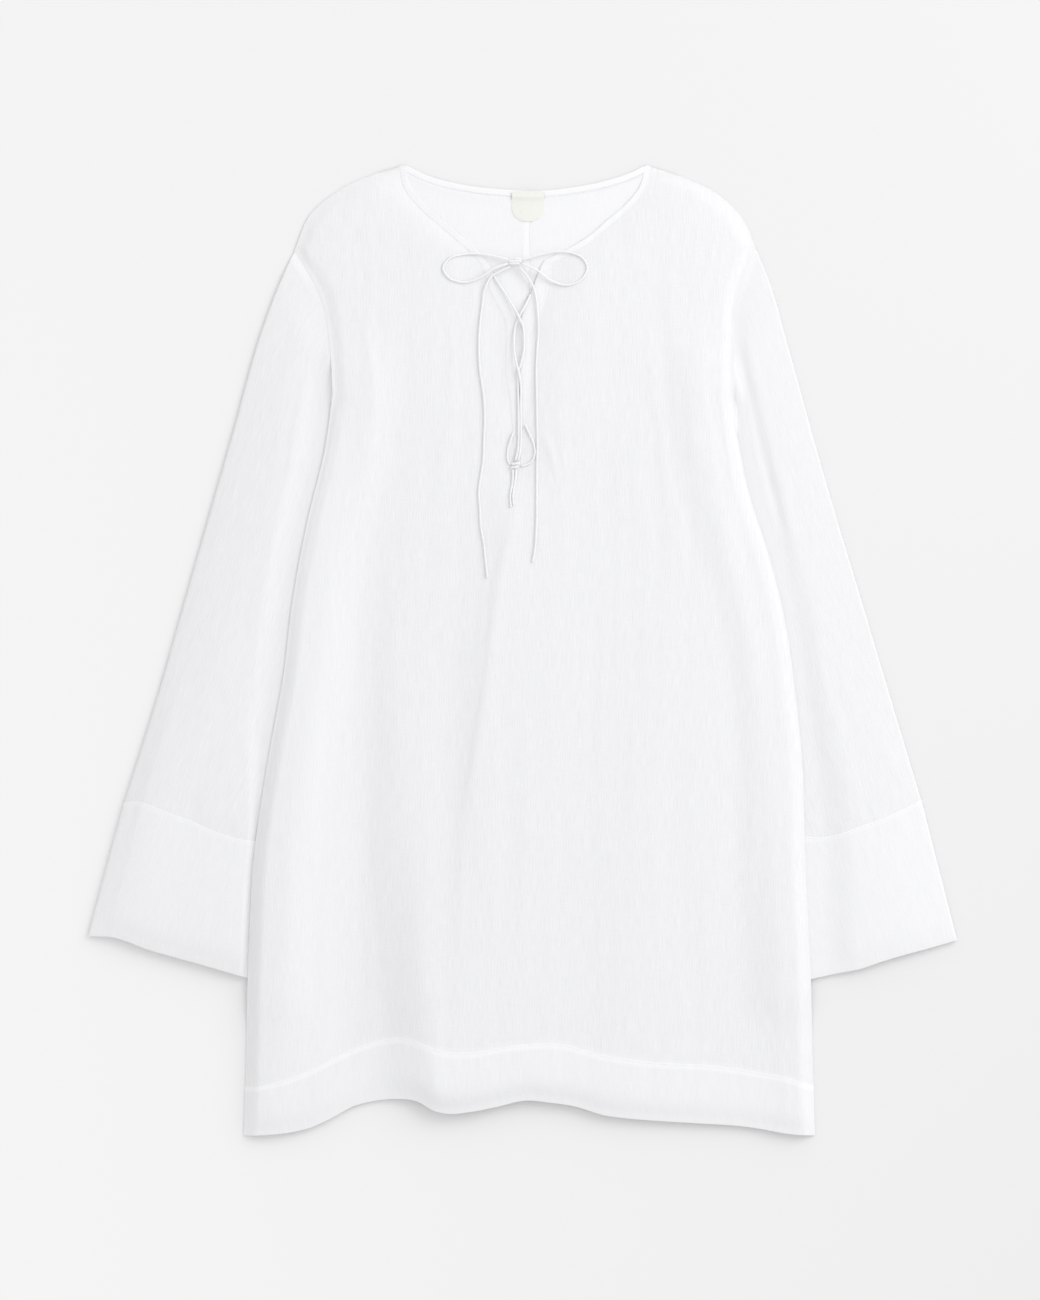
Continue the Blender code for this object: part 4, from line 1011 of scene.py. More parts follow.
columns = np.concatenate([hem_columns("left", PANEL_COLUMNS)[::-1],
                          hem_columns("right", PANEL_COLUMNS)[1:]])
hem_points = hem_strip(columns, 0.0, front_hem_top, HEM_GAP)
from_hem_seam = np.abs(hem_points[..., 1] - hem_points[:1, :, 1])
front_hem = add_strip("front_hem_cloth", hem_points, "double_voile", "front_hem", BAND_CLOTH,
                      doubled_and_painted_light=seam_strip(from_hem_seam, BAND_SEAM, BAND_SEAM_SOFT).ravel())
back_columns = np.linspace(HEM_SEAM[0][0], HEM_SEAM[-1][0], 2 * BACK_COLUMNS + 1)
back_points = hem_strip(back_columns, BACK_HEM_SHORTER,
                        lambda x, y: back_under(x, y) + 2 * CLOTH, BACK_HEM_GAP)
back_hem = add_strip("back_hem_cloth", back_points, "double_voile", "back_hem", BAND_CLOTH)
depth = float(np.ptp(hem_points[:, PANEL_COLUMNS, 1]))
print("hem depth", round(depth, 1), "mm at the middle")

# %% [markdown]
# ## Sleeves
#
# A sleeve that lies flat is a pressed tube: its upper half arches over trapped air and its
# lower half rests on the surface, with a soft fold at either edge. Two sheets could be laid on
# each other, but then the edges would be open. So each ring of points goes once round the tube,
# and its height comes from an arch whose crest and place are tables down the sleeve.

# %% Tables of sleeves and cuffs
SLEEVE_OUTER = {
    "left": ((-205.3, 360), (-217.5, 333), (-234.5, 288), (-260, 198),
             (-303.7, 45), (-329.4, -45), (-358.7, -137.7)),
    "right": ((209.8, 363), (224.6, 324), (237.2, 279), (249.8, 234), (266, 175.5),
              (312, 21), (358.7, -135))}
SLEEVE_INNER = {
    "left": ((-170.8, 229.5), (-172, 205), (-170.5, 178), (-172.5, 135),
             (-183.5, 72), (-198, 0), (-214.8, -81), (-235, -173.5)),
    "right": ((192.3, 200), (194.6, 178), (194.5, 150), (198, 110), (209, 60),
              (223, -5), (237, -85), (248, -168))}
CUFF_SEAM = {
    "left": ((-358.7, -137.7), (-347, -136.8), (-317, -146.7), (-295, -154.8),
             (-276.8, -163), (-258.8, -169.2), (-235, -173.5)),
    "right": ((358.7, -135), (353.3, -138.6), (339.8, -145), (321.8, -153),
              (303.8, -159), (285.8, -165.6), (270.5, -169), (248, -168))}
CUFF_EDGE = {
    "left": ((-391, -257), (-369.5, -257.6), (-335.3, -269), (-290.3, -281.7),
             (-241.5, -296)),
    "right": ((391, -260.5), (366.8, -267.3), (339.8, -274.5), (321.8, -280),
              (303.8, -286), (281.3, -290.7), (253, -297))}
# Share of the way down, height of the crest, and its place from the outer edge inwards
PUFF = {
    "left": ((0, 4.6, 0.48), (0.25, 8.5, 0.46), (0.6, 9.5, 0.46), (1, 10.5, 0.36)),
    "right": ((0, 4.6, 0.55), (0.25, 5.2, 0.64), (0.6, 5.4, 0.64), (1, 7.6, 0.52))}
CUFF_PUFF = {
    "left": ((0, 10.5, 0.36), (0.5, 11, 0.28), (1, 10, 0.25)),
    "right": ((0, 7.4, 0.52), (0.5, 8, 0.54), (1, 8.8, 0.55))}
ARCH_POWER = 0.9
SLEEVE_LEAN = 2.0
TUBE_EDGE_HEIGHT = 2.6
CUFF_EDGE_HEIGHT = 3.3
COVERED_MARGIN = 8.0
COVERED_REACH = 20.0
COVERED_HEIGHT = 3.2
FULL_MARGIN = 1.0
FULL_REACH = 5.0
# Whiter armhole seam allowance; its strength per side is also painted shade, weaker on the right,
# where the armhole lies in shadow
ARMHOLE_ALLOWANCE_AND_SHADE = {"left": 0.75, "right": 0.35}
ARMHOLE_SEAM = 6.5
FULLNESS = {"left": 1.0, "right": -0.7}
FLANKED_FROM = 0.7
# The right sleeve has a soft valley beside the body's edge
SLEEVE_VALLEY = ((170, 358), (190, 291), (203, 231), (216, 171), (231, 110), (243, 60))
VALLEY_DEPTH = 2.4
VALLEY_WIDTH = 5.5
SLEEVE_WRINKLES = 1.1
CUFF_WRINKLES = 0.7
UNDERARM_MARGIN = 12.0
UNDERARM_BLEND = 30.0
ARMHOLE_BLEND = 0.10
SLEEVE_COLUMNS = 72
SLEEVE_GRID_ROWS = 90
CUFF_GRID_ROWS = 26
print("sleeve", round(length_of(SLEEVE_OUTER["left"])), "mm down its outer edge")

# %% Shape of a flattened tube
EDGE_RADIUS = 2.4


def tube_height(s, w, puffs, edge_height):
    """Skewed arch: e + (c - e) sin(pi u)^p, where u is w stretched on either side of its crest."""
    table = np.array(puffs)
    crest = on_curve(table, s)
    place = eased(s, table[:, 0], table[:, 2])
    skewed = np.where(w < place, 0.5 * w / place, 0.5 + 0.5 * (w - place) / (1.0 - place))
    return edge_height + (crest - edge_height) * np.sin(np.pi * skewed) ** ARCH_POWER


FLANK = ((0.0, 0.0), (0.05, 0.335), (0.10, 0.67), (0.138, 0.925), (0.16, 1.0), (0.5, 1.03),
         (0.9, 0.99), (1.0, 0.9))
SEAM_QUIET = 9.0


def flanked(s, w, puffs, edge_height):
    """Arch with one steep side: e + (c - e) f(w), f up a straight flank to a level top."""
    table = np.array(puffs)
    crest = on_curve(table, s)
    profile = np.array(FLANK)
    return edge_height + (crest - edge_height) * on_curve(profile, w)


print("sleeve crest", round(float(tube_height(0.5, 0.46, PUFF["left"], 0.0)), 1), "mm")

# %% A tube's covered side and its rings
def under_body(plan, height, covered_height, underarm_y, full=0.0):
    """Flatten a tube under the body's edge; `full` 1 keeps it up longer, below 0 less long."""
    outside = -inside_edge(plan[..., 0], plan[..., 1])
    margin = COVERED_MARGIN + (FULL_MARGIN - COVERED_MARGIN) * full
    rising = smoothstep((outside - margin) / (COVERED_REACH + (FULL_REACH - COVERED_REACH) * full))
    covered = covered_height + np.maximum(height - covered_height, 0.0) * rising
    share = 1.0 - smoothstep((plan[..., 1] - underarm_y - UNDERARM_MARGIN) / UNDERARM_BLEND)
    return height + (np.minimum(covered, height) - height) * share


def flat_width(plan):
    """Flat width of a tube at each row of its plan."""
    return np.linalg.norm(plan[:, -1] - plan[:, 0], axis=1)[:, None]


def rounded(plan):
    """0 at both edges of a tube and 1 inside: the quarter circle sqrt(1 - (1 - d/r)^2)."""
    from_outer = np.linalg.norm(plan - plan[:, :1], axis=2)
    edge = np.minimum(from_outer, np.linalg.norm(plan - plan[:, -1:], axis=2))
    inside = np.clip(edge / np.minimum(EDGE_RADIUS, flat_width(plan) / 4), 0.0, 1.0)
    return np.sqrt(1.0 - (1.0 - inside)**2)


def tube_rings(plan, top, bottom):
    """Rings of a tube: the upper half outwards to inwards, then the lower half back."""
    bulge = rounded(plan)
    middle = np.minimum(bottom + (top - bottom) / 2, bottom + TUBE_EDGE_HEIGHT / 2)
    upper = middle + (top - middle) * bulge
    lower = middle + (bottom - middle) * bulge
    return np.concatenate([lifted(plan, upper), lifted(plan, lower)[:, -2:0:-1]], axis=1)


def edge_shares(steps):
    """Shares from 0 to 1, closer together at both ends: a part line, a part cosine."""
    even_shares = np.linspace(0.0, 1.0, steps + 1)
    return 0.35 * even_shares + 0.65 * (0.5 - 0.5 * np.cos(np.pi * even_shares))


print(len(edge_shares(SLEEVE_COLUMNS)), "columns in a tube")

# %% Surface of a sleeve
def sleeve_plan(side):
    """Plan grid of a sleeve: rows from armhole to cuff, columns from its outer edge inwards."""
    shares = np.linspace(0.0, 1.0, SLEEVE_GRID_ROWS + 1)
    across = edge_shares(SLEEVE_COLUMNS)
    armhole = sideways(along(ARMHOLE[side], across), -OUTWARDS[side] * SEAM_LAP)
    outer = along(SLEEVE_OUTER[side], shares)
    inner = along(SLEEVE_INNER[side], shares)
    cuff = along(CUFF_SEAM[side], across)
    outer[0], inner[0] = armhole[0], armhole[-1]
    outer[-1], inner[-1] = cuff[0], cuff[-1]
    return coons(armhole, cuff, outer, inner, across ** SLEEVE_LEAN)


def sleeve_surface(side):
    """Sleeve rings: the arch, blended into the body's edge at the armhole, with wrinkles."""
    plan = sleeve_plan(side)
    x, y = plan[..., 0], plan[..., 1]
    s = np.linspace(0.0, 1.0, len(plan))[:, None] * np.ones((1, plan.shape[1]))
    w = edge_shares(SLEEVE_COLUMNS)[None, :] * np.ones((len(plan), 1))
    rim = TUBE_EDGE_HEIGHT + (CUFF_EDGE_HEIGHT - TUBE_EDGE_HEIGHT) * s**4
    free = tube_height(s, w, PUFF[side], rim)
    lower = smoothstep((s - FLANKED_FROM) / (1.0 - FLANKED_FROM))
    full = FULLNESS[side] * lower
    if side == "left":
        free = free + (flanked(s, w, PUFF[side], rim) - free) * lower
    meeting = back_under(x, y) + SEWN_STACK - SEAM_GAP + armhole_lift(y)
    top = meeting + (free - meeting) * smoothstep(s / ARMHOLE_BLEND)
    top = under_body(plan, top, COVERED_HEIGHT, ARMHOLE[side][-1][1], full)
    down = walked(plan)
    width = flat_width(plan)
    loose = smoothstep((top - TUBE_EDGE_HEIGHT) / 3.0)
    to_cuff = (1 - s) * down[-1]
    loose = loose * smoothstep(to_cuff / SEAM_QUIET)
    top = top + SLEEVE_WRINKLES * wrinkles(w * width, down, 20 + len(side)) * loose
    if side == "right":
        top = top - VALLEY_DEPTH * crease(x, y, SLEEVE_VALLEY, VALLEY_WIDTH) * loose
    top = top + puckers(w * width, to_cuff, 45 + len(side)) * (top > 2.8)
    tucked = CLOTH * bell(to_cuff, 2.0)
    bottom = back_under(x, y) * (1.0 - smoothstep(s / 0.08)) + tucked
    return tube_rings(plan, top, bottom), w, down


print("sleeve plan", sleeve_plan("left").shape[:2], "points")

# %% Sleeve meshes
def both_ways(values):
    """Values across a plan, repeated backwards for the lower half of each ring."""
    return np.concatenate([values, values[:, -2:0:-1]], axis=1)


for side in SIDES:
    rings, w, down = sleeve_surface(side)
    # Real double cloth at the seam, painted weaker away from the shoulder tip: painted shade where
    # the armhole lies in shadow
    allowance_and_shade = ARMHOLE_ALLOWANCE_AND_SHADE[side] * (1.0 - 0.8 * smoothstep((w - 0.1) / 0.3))
    doubled_and_painted_light = both_ways(allowance_and_shade * seam_strip(down, ARMHOLE_SEAM)).ravel()
    add_strip(f"{side}_sleeve_cloth", rings, "voile", f"{side}_sleeve", CLOTH,
                              side == "right", doubled_and_painted_light, closed=True)
    print(side, "sleeve:", rings.shape[0] * rings.shape[1], "points, height",
          round(float(rings[..., 2].max()), 1), "mm")


# %% [markdown]
# ## Cuffs
#
# The deep cuff is a second tube of two layers, folded back inside itself at the mouth. A single
# thick tube would be simpler, but from below one looks into the mouth and sees the lining. So
# the outer rings are copied inwards along their normals, with a half circle at the fold.

# %% Cuffs, folded back inside themselves
CUFF_FOLD_ROWS = 4
CUFF_GAP = 0.9
CUFF_STEP = 0.25


def cuff_surface(side):
    """Outer rings down to the mouth, a half circle round its fold, and the rings back inside."""
    across = edge_shares(SLEEVE_COLUMNS)
    seam = along(CUFF_SEAM[side], across) + (0.0, SEAM_LAP)
    edge = along(CUFF_EDGE[side], across)
    v = np.linspace(0.0, 1.0, CUFF_GRID_ROWS + 1)
    plan = (1 - v[:, None, None]) * seam[None] + v[:, None, None] * edge[None]
    s = v[:, None] * np.ones((1, len(across)))
    w = across[None, :] * np.ones((len(v), 1))
    shape = flanked if side == "left" else tube_height
    top = shape(s, w, CUFF_PUFF[side], CUFF_EDGE_HEIGHT)
    top = under_body(plan, top, CUFF_EDGE_HEIGHT, ARMHOLE[side][-1][1], FULLNESS[side])
    length = np.linalg.norm(edge - seam, axis=1)[None, :]
    width = flat_width(plan)
    loose = smoothstep((top - CUFF_EDGE_HEIGHT) / 3.0)
    loose = loose * smoothstep(s * length / SEAM_QUIET)
    gathers = puckers(w * width, s * length, 40 + len(side))
    droop = EDGE_DROOP * bell((1.0 - s) * length, DROOP_REACH)
    top = top - droop * np.maximum(top - CUFF_EDGE_HEIGHT, 0.0)
    fine = CUFF_WRINKLES * wrinkles(w * width, s * length, 30 + len(side)) * loose
    return tube_rings(plan, top + fine + gathers + CUFF_STEP, np.zeros_like(top))


print("cuff", cuff_surface("left").shape[:2], "points")

# %% Cuff lining and meshes
def lined(outer, turned):
    """Outer rings, then rings moved inwards by the gap between the layers, back to the seam."""
    tangent = np.roll(outer, -1, axis=1) - np.roll(outer, 1, axis=1)
    tangent /= np.linalg.norm(tangent, axis=2, keepdims=True)
    lengthwise = np.gradient(outer, axis=0)
    lengthwise /= np.linalg.norm(lengthwise, axis=2, keepdims=True)
    inwards = np.cross(tangent, lengthwise) * (-1.0 if turned else 1.0)
    inwards /= np.linalg.norm(inwards, axis=2, keepdims=True)
    inner = (outer + CUFF_GAP * inwards)[::-1]
    turn = np.linspace(0.0, math.pi, CUFF_FOLD_ROWS + 2)[1:-1, None, None]
    mouth = outer[-1][None] + CUFF_GAP / 2 * (1 - np.cos(turn)) * inwards[-1][None]
    mouth = mouth + CUFF_GAP / 2 * np.sin(turn) * lengthwise[-1][None]
    return np.concatenate([outer, mouth, inner])


cuff_rings = {}
for side in SIDES:
    outer = cuff_surface(side)
    turned = side == "right"
    rings = lined(outer, turned)
    from_seam = np.linalg.norm(rings[..., :2] - rings[:1, :, :2], axis=2)
    doubled_and_painted_light = seam_strip(from_seam, BAND_SEAM, BAND_SEAM_SOFT).ravel()
    add_strip(f"{side}_cuff_cloth", rings, "double_voile", f"{side}_cuff",
                            BAND_CLOTH, turned, doubled_and_painted_light, closed=True)
    cuff_rings[side] = outer
    print(side, "cuff: lowest point", round(float(rings[..., 2].min()), 2), "mm")

# %% [markdown]
# ## Bindings
#
# A binding is a bias strip folded round a raw edge. A bevelled curve would look like a cord, so
# it is made as it is sewn. Its section is a C: a leg above the panel, a fold at the free edge
# and a leg below. The section is carried along the neckline and down both edges of the slit.

# %% Wrapped edges
BINDING_STEPS = 90
LEG_OVERLAP = 0.8
LEG_HALF = 0.42
BACK_LEG_HALF = 0.55
BINDING_CLOTH = 0.25
SECTION_STEPS = 9
FOLD_SHARE = 0.12
BINDING_ROLL = 0.15


def c_section():
    """Share of the leg's width and side (+1 above, -1 below) of each point of the C."""
    leg = np.linspace(1.0, FOLD_SHARE, SECTION_STEPS)
    turn = np.linspace(0.0, math.pi, 7)[1:-1]
    share = np.concatenate([leg, FOLD_SHARE * (1 - np.sin(turn)), leg[::-1]])
    level = np.concatenate([np.ones(SECTION_STEPS), np.cos(turn), -np.ones(SECTION_STEPS)])
    return share, level


def wrapped(free, inner, height_at, half_thick):
    """C section between a free edge and a line inside the panel, with a slight roll."""
    share, level = c_section()
    plan = free[:, None, :] + share[None, :, None] * (inner - free)[:, None, :]
    thick = half_thick * (1.0 + BINDING_ROLL * np.sin(np.pi * np.clip(share, 0.0, 1.0)))
    z = height_at(plan[..., 0], plan[..., 1]) + level[None, :] * thick[None, :]
    return lifted(plan, z)


def binding_middle(x, y):
    """Middle height of a binding on the front: around the panel's thin edge."""
    return front_top(x, y) - CLOTH / 2


print(len(c_section()[0]), "points in the section")

# %% Whiteness and corners of the bindings
# A binding is four layers thick, so it shows whiter than double cloth; how much whiter each one is
# set is also painted light: dim on the left front, bright on the right front and back
BINDING_WHITENESS_AND_PAINTED_LIGHT = {"neck_binding_left": 0.0, "neck_binding_right": 0.6, "neck_binding_back": 0.7,
          "slit_binding_left": 0.25, "slit_binding_right": 0.3}
# Corner where a neck binding meets a slit band, and the band's outer and inner end at the foot
MITRE = {"left": (-35.8, 345.1), "right": (26.0, 347.7)}
BANDS_MEET = 0.9
SLIT_END = {"left": ((-5.6, 164.8), (-2.0, 165.4)), "right": ((0.2, 164.8), (-2.4, 165.4))}


def add_binding(name, free, inner, height_at, half_thick, thickness, turned):
    """A wrapped strip from its free edge and its inner edge, with its own whiteness and painted
    light.
    """
    strip = wrapped(free, inner, height_at, half_thick)
    whiteness_and_painted_light = np.full(strip.shape[0] * strip.shape[1], BINDING_WHITENESS_AND_PAINTED_LIGHT[name])
    binding_strips[name] = strip
    add_strip(f"{name}_cloth", strip, "double_voile", name, thickness, turned,
                               whiteness_and_painted_light)
    print(name, round(length_of(free)), "mm long")


def back_binding_middle(x, y):
    """Middle height of the back's binding, lower at both ends, where the front's begins."""
    from_end = np.minimum(x - BACK_NECK[0, 0], BACK_NECK[-1, 0] - x)
    return 0.95 - 0.3 * bell(from_end, 6.0)


print("bindings:", len(BINDING_WHITENESS_AND_PAINTED_LIGHT))

# %% Neck and slit bindings
binding_strips = {}
for side in SIDES:
    free = even(FRONT_NECK[side], BINDING_STEPS)
    inner = sideways(free, -OUTWARDS[side] * (BINDING_WIDTH + SEAM_GAP + LEG_OVERLAP))
    beyond = OUTWARDS[side] * (inner[:, 0] - MITRE[side][0]) > 1.0
    inner = even(np.vstack([[MITRE[side]], inner[beyond]]), BINDING_STEPS)
    add_binding(f"neck_binding_{side}", free, inner, binding_middle, LEG_HALF, BINDING_CLOTH,
                side == "left")

free = along(BACK_NECK, np.linspace(0.005, 0.995, 2 * BINDING_STEPS + 1))
inner = sideways(free, -(BINDING_WIDTH + SEAM_GAP + LEG_OVERLAP))
add_binding("neck_binding_back", free, inner, back_binding_middle, BACK_LEG_HALF, BAND_CLOTH,
            False)

for side in SIDES:
    outer_end, inner_end = SLIT_END[side]
    inner = slit_line(side, 2)
    inner[:, 0] -= OUTWARDS[side] * BANDS_MEET * smoothstep((200.0 - inner[:, 1]) / 20.0)
    free = even(np.vstack([[FRONT_NECK[side][0]], inner, [inner_end]]), BINDING_STEPS)
    outer = slit_line(side, 1) + (OUTWARDS[side] * LEG_OVERLAP, 0.0)
    outer = even(np.vstack([[MITRE[side]], outer, [outer_end]]), BINDING_STEPS)
    add_binding(f"slit_binding_{side}", free, outer, binding_middle, LEG_HALF, BINDING_CLOTH,
                side == "right")

# %% [markdown]
# ## Label
#
# A small satin label with a rounded lower end hangs from the back of the neck. It is bare. A
# grid cut by a circle would have ragged cells, so its half width follows a quarter circle.

# %% Neck label
LABEL_CENTRE_X = 5.0
LABEL_TOP_Y = 412.0
LABEL_HALF_WIDTH = 14.4
LABEL_STRAIGHT = 14.0
LABEL_ROUND = 12.5
LABEL_ROWS = 40
LABEL_COLUMNS = 32
LABEL_CLOTH = 0.5
down = np.linspace(0.0, 1.0, LABEL_ROWS + 1)**0.85 * (LABEL_STRAIGHT + LABEL_ROUND)
past = np.clip(down - LABEL_STRAIGHT, 0.0, 0.995 * LABEL_ROUND) / LABEL_ROUND
half = LABEL_HALF_WIDTH - LABEL_ROUND * (1.0 - np.sqrt(1.0 - past**2))
across = np.linspace(-1.0, 1.0, LABEL_COLUMNS + 1)
x = LABEL_CENTRE_X + half[:, None] * across[None, :]
y = LABEL_TOP_Y - down[:, None] * np.ones((1, len(across)))
from_edge = on_curve(BACK_NECK, x) - y
over_binding = 1.0 - smoothstep((from_edge - 6.0) / 4.0)
z = back_top(x, y) + 0.65 + 0.9 * over_binding + 0.25 * np.cos(2.2 * across)[None, :]
label = add_strip("neck_label_cloth", np.stack([x, y, z], axis=-1), "label", "neck_label",
                  LABEL_CLOTH)
print("label", round(2 * LABEL_HALF_WIDTH, 1), "mm wide")

# %% [markdown]
# ## Cords
#
# The slit is laced with a narrow tube of the same cloth, rolled and sewn, about 2 mm thick. Two
# strands cross at the top and again lower down. They end in a bow with two long tails, and the
# foot of the slit has a small knot with two loops and two short ends. Each cord is a round
# section, pressed a little flat, with a sewn groove, which a curve's round bevel would not
# have. It is carried along its route and rests on the cloth below it. A point of a route that
# has no height of its own lies on the cloth.

# %% Routes of the cords
CORD = 2.0
ON_CLOTH = 1.7
ON_BAND = 2.6
INTO_BAND = 1.0
OVER_CORD = 5.0
RESTING = 0.55
CORD_ROUTES = {
    "lace_left": (
        (-26, 336.6, INTO_BAND), (-22.6, 331, 2), (-16.6, 322, ON_BAND),
        (-9.9, 311, 3.4), (-3.2, 299, OVER_CORD), (0.4, 290, 3.4), (1.4, 281, ON_BAND),
        (1.2, 270, ON_BAND), (-1.3, 258, ON_BAND), (-3.9, 249, ON_BAND),
        (-4, 238, ON_BAND), (-3.7, 220, ON_BAND), (-3.5, 200, ON_BAND),
        (-4, 181, ON_BAND), (-6.4, 169.8, 3)),
    "lace_right": (
        (7.4, 320, INTO_BAND), (2.2, 309, ON_BAND), (-3.2, 299, 2.4), (-6.6, 290, 2.5),
        (-7.7, 281, 2.8), (-7.5, 270, 3.2), (-5.6, 258, 4.4), (-3.3, 249, OVER_CORD),
        (-1.8, 240, 3.8), (-1.6, 220, ON_BAND), (-1.4, 200, ON_BAND),
        (-1.8, 181, ON_BAND), (-3.9, 169.5, 3)),
    "bow_loop_left": (
        (-12.7, 350.5, 4.3), (-24, 353.6, 3.4), (-38, 356, 2.6), (-54, 355.6),
        (-66, 351.5), (-71.5, 343.6), (-66.5, 334.8),
        (-53, 330.4), (-38.5, 334.4, 3.6), (-25.5, 342.6, 5.6), (-12.7, 347.4, 4.5)),
    "bow_loop_right": (
        (-0.8, 350.5, 4.3), (13, 354.6, 3.4), (30, 358, 3), (44, 357, ON_BAND),
        (54.5, 351.6), (58.2, 343.4), (53, 333),
        (40, 328), (26, 331.8, 3), (12.5, 341.4, 4.8), (-0.8, 347.4, 4.5)),
    "bow_tail_left": (
        (-10.5, 344.7, 3.4), (-20, 340.6, 2.8), (-28, 335.6, ON_BAND), (-33.4, 326, ON_BAND),
        (-36, 311.4), (-38.3, 292.5), (-39.2, 270),
        (-38.3, 252), (-35.6, 234), (-33.8, 210.6),
        (-34.5, 190.8), (-35.3, 170), (-37.4, 156),
        (-39.2, 142), (-38.4, 127.8), (-37.4, 110),
        (-35, 96.3), (-33.3, 81.5), (-31.6, 64.3)),
    "bow_tail_right": (
        (-3.3, 344.7, 3.4), (3.4, 336.4, 2.8), (9.5, 326.7, ON_BAND), (12.4, 315, ON_BAND),
        (13.6, 303, ON_BAND), (14.4, 290, ON_BAND), (13.5, 274.5),
        (12.6, 261), (12.6, 230), (13.2, 205),
        (13.4, 182), (12.9, 160), (12.8, 138),
        (12.3, 108), (11, 90), (9, 78.3)),
    "lower_loop_left": (
        (-7.4, 196.5, ON_BAND), (-11.2, 187, ON_BAND), (-13.4, 178),
        (-13.2, 170.6), (-11, 166.2)),
    "lower_loop_right": (
        (2.2, 203, ON_BAND), (6.8, 193), (10.4, 184),
        (11, 176), (8, 169.4), (3, 166.4),
        (-1.8, 165.4)),
    "lower_tail_left": (
        (-8.6, 162.4, 2.4), (-9, 150), (-10.8, 140),
        (-10.4, 127.6)),
    "lower_tail_right": (
        (-5.6, 162.3, 2.4), (-6.8, 150), (-8.6, 140),
        (-8.2, 129.5))}


print(len(CORD_ROUTES), "cords")

# %% Cord tubes
CORD_SIDES = 14
CORD_RING = 1.2
GROOVE = 0.16
GROOVE_WIDTH = 0.4
UNEVEN = 0.05
CORD_SINK = 0.40
CORD_FLAT = 0.8


def tube_along(points, radius, upright=(0.0, 0.0, 1.0), flat=1.0):
    """Rings round a centreline: p + r(a) (cos a side + f sin a up), with rounded ends."""
    tangent = np.gradient(points, axis=0)
    tangent /= np.linalg.norm(tangent, axis=1, keepdims=True)
    side = np.cross(np.asarray(upright, float), tangent)
    side /= np.linalg.norm(side, axis=1, keepdims=True)
    up = flat * np.cross(tangent, side)
    angle = np.linspace(0.0, 2 * math.pi, CORD_SIDES, endpoint=False)
    reach = walked(points)
    seam = angle[None, :] - 2.2 - 0.5 * np.sin(reach / 37.0)[:, None]
    section = 1.0 - GROOVE * bell(seam, GROOVE_WIDTH)
    section = section * (1.0 + UNEVEN * np.sin(reach / 5.3)[:, None] * np.cos(2 * angle)[None, :])
    size = np.full(len(points), float(radius))
    for distance in (reach, reach[-1] - reach):
        inside = np.clip(distance / radius, 0.0, 1.0)
        size = size * np.sqrt(np.clip(1.0 - (1.0 - inside)**2, 0.02, 1.0))
    ring = np.cos(angle)[None, :, None] * side[:, None] + np.sin(angle)[None, :, None] * up[:, None]
    rings = points[:, None, :] + (size[:, None] * section)[..., None] * ring
    uv = np.stack([np.broadcast_to(angle * radius, section.shape),
                   np.broadcast_to(reach[:, None], section.shape)], axis=-1)
    return rings, uv.reshape(-1, 2)


def add_round(name, rings, uv, slot):
    """A closed tube from rings, with a cap at either end."""
    index = numbered(*rings.shape[:2])
    faces = grid_quads(index, turned=True, closed=True).tolist()
    faces.append(index[0].tolist()[::-1])
    faces.append(index[-1].tolist())
    return add_mesh(name, rings.reshape(-1, 3), faces, slot, uv)


print("cord", CORD, "mm wide,", CORD_SIDES, "sides")

# %% Cords along their routes
def cord_line(name):
    """Centreline of a cord: its route over the front, resting on whatever is below."""
    route = np.array([(*point, ON_CLOTH)[:3] for point in CORD_ROUTES[name]])
    route[:, 2] += front_level(route[:, 0], route[:, 1]) - RESTING
    total = length_of(even(route, 200))
    steps = max(12, round(total / CORD_RING))
    line = even(route, steps)
    lowest = front_top(line[:, 0], line[:, 1]) + CORD_FLAT * CORD / 2 - CORD_SINK
    line[1:-1, 2] = np.maximum(line[1:-1, 2], lowest[1:-1])
    return line


lines = {}
for name in CORD_ROUTES:
    line = cord_line(name)
    rings, uv = tube_along(line, CORD / 2, flat=CORD_FLAT)
    add_round(f"{name}_cord", rings, uv, "cord")
    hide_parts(name)
    lines[name] = line
    print(name, round(length_of(line), 1), "mm")

# %% [markdown]
# ## Knots
#
# A knot is the cord wound round its own strands. Its true path could be modelled loop by loop,
# but at two millimetres only the outer turns show. So each knot is a low helix round the place
# where the cords meet.

# %% Knots
KNOTS = {"bow_knot": ((-6.75, 349.0, 4.2), (5.0, 3.2, 2.4)),
         "lower_knot": ((-6.4, 166.0, 3.0), (3.2, 3.0, 1.9))}
WRAP_RADIUS = 1.1
WRAP_POINTS = 70


def add_knot(name, turns, slant):
    """A cord wound flat round the strands: a low helix whose axis points up the dress."""
    (x, y, rise), (half_x, half_y, half_z) = KNOTS[name]
    centre_z = float(front_level(np.array(x), np.array(y))) + rise - RESTING
    t = np.linspace(0.0, 1.0, WRAP_POINTS)
    angle = 2 * math.pi * turns * t + 0.6
    line = np.column_stack([
        x + (half_x + 0.2) * np.cos(angle),
        y + (half_y - 1.0) * (2 * t - 1.0) + slant * np.cos(angle),
        centre_z + (half_z - 1.0) * np.sin(angle)])
    rings, uv = tube_along(line, WRAP_RADIUS, (0.0, 1.0, 0.0))
    knot = add_round(f"{name}_wrap", rings, uv, "cord")
    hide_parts(name)
    print(name, turns, "turns,", round(length_of(line)), "mm of cord")


add_knot("bow_knot", 2.2, 0.5)
add_knot("lower_knot", 1.4, 1.1)

# %% [markdown]
# ## Stitches
#
# Fine machine stitching holds the hem, the cuffs and every binding. A stitch is so small that
# it is modelled as a low lozenge of sixteen faces, and a whole row of them is one mesh: the
# same ten points placed along a line by its tangent, its side and its up direction. Stitches
# painted by the material would stay flat when the light grazes the seam.

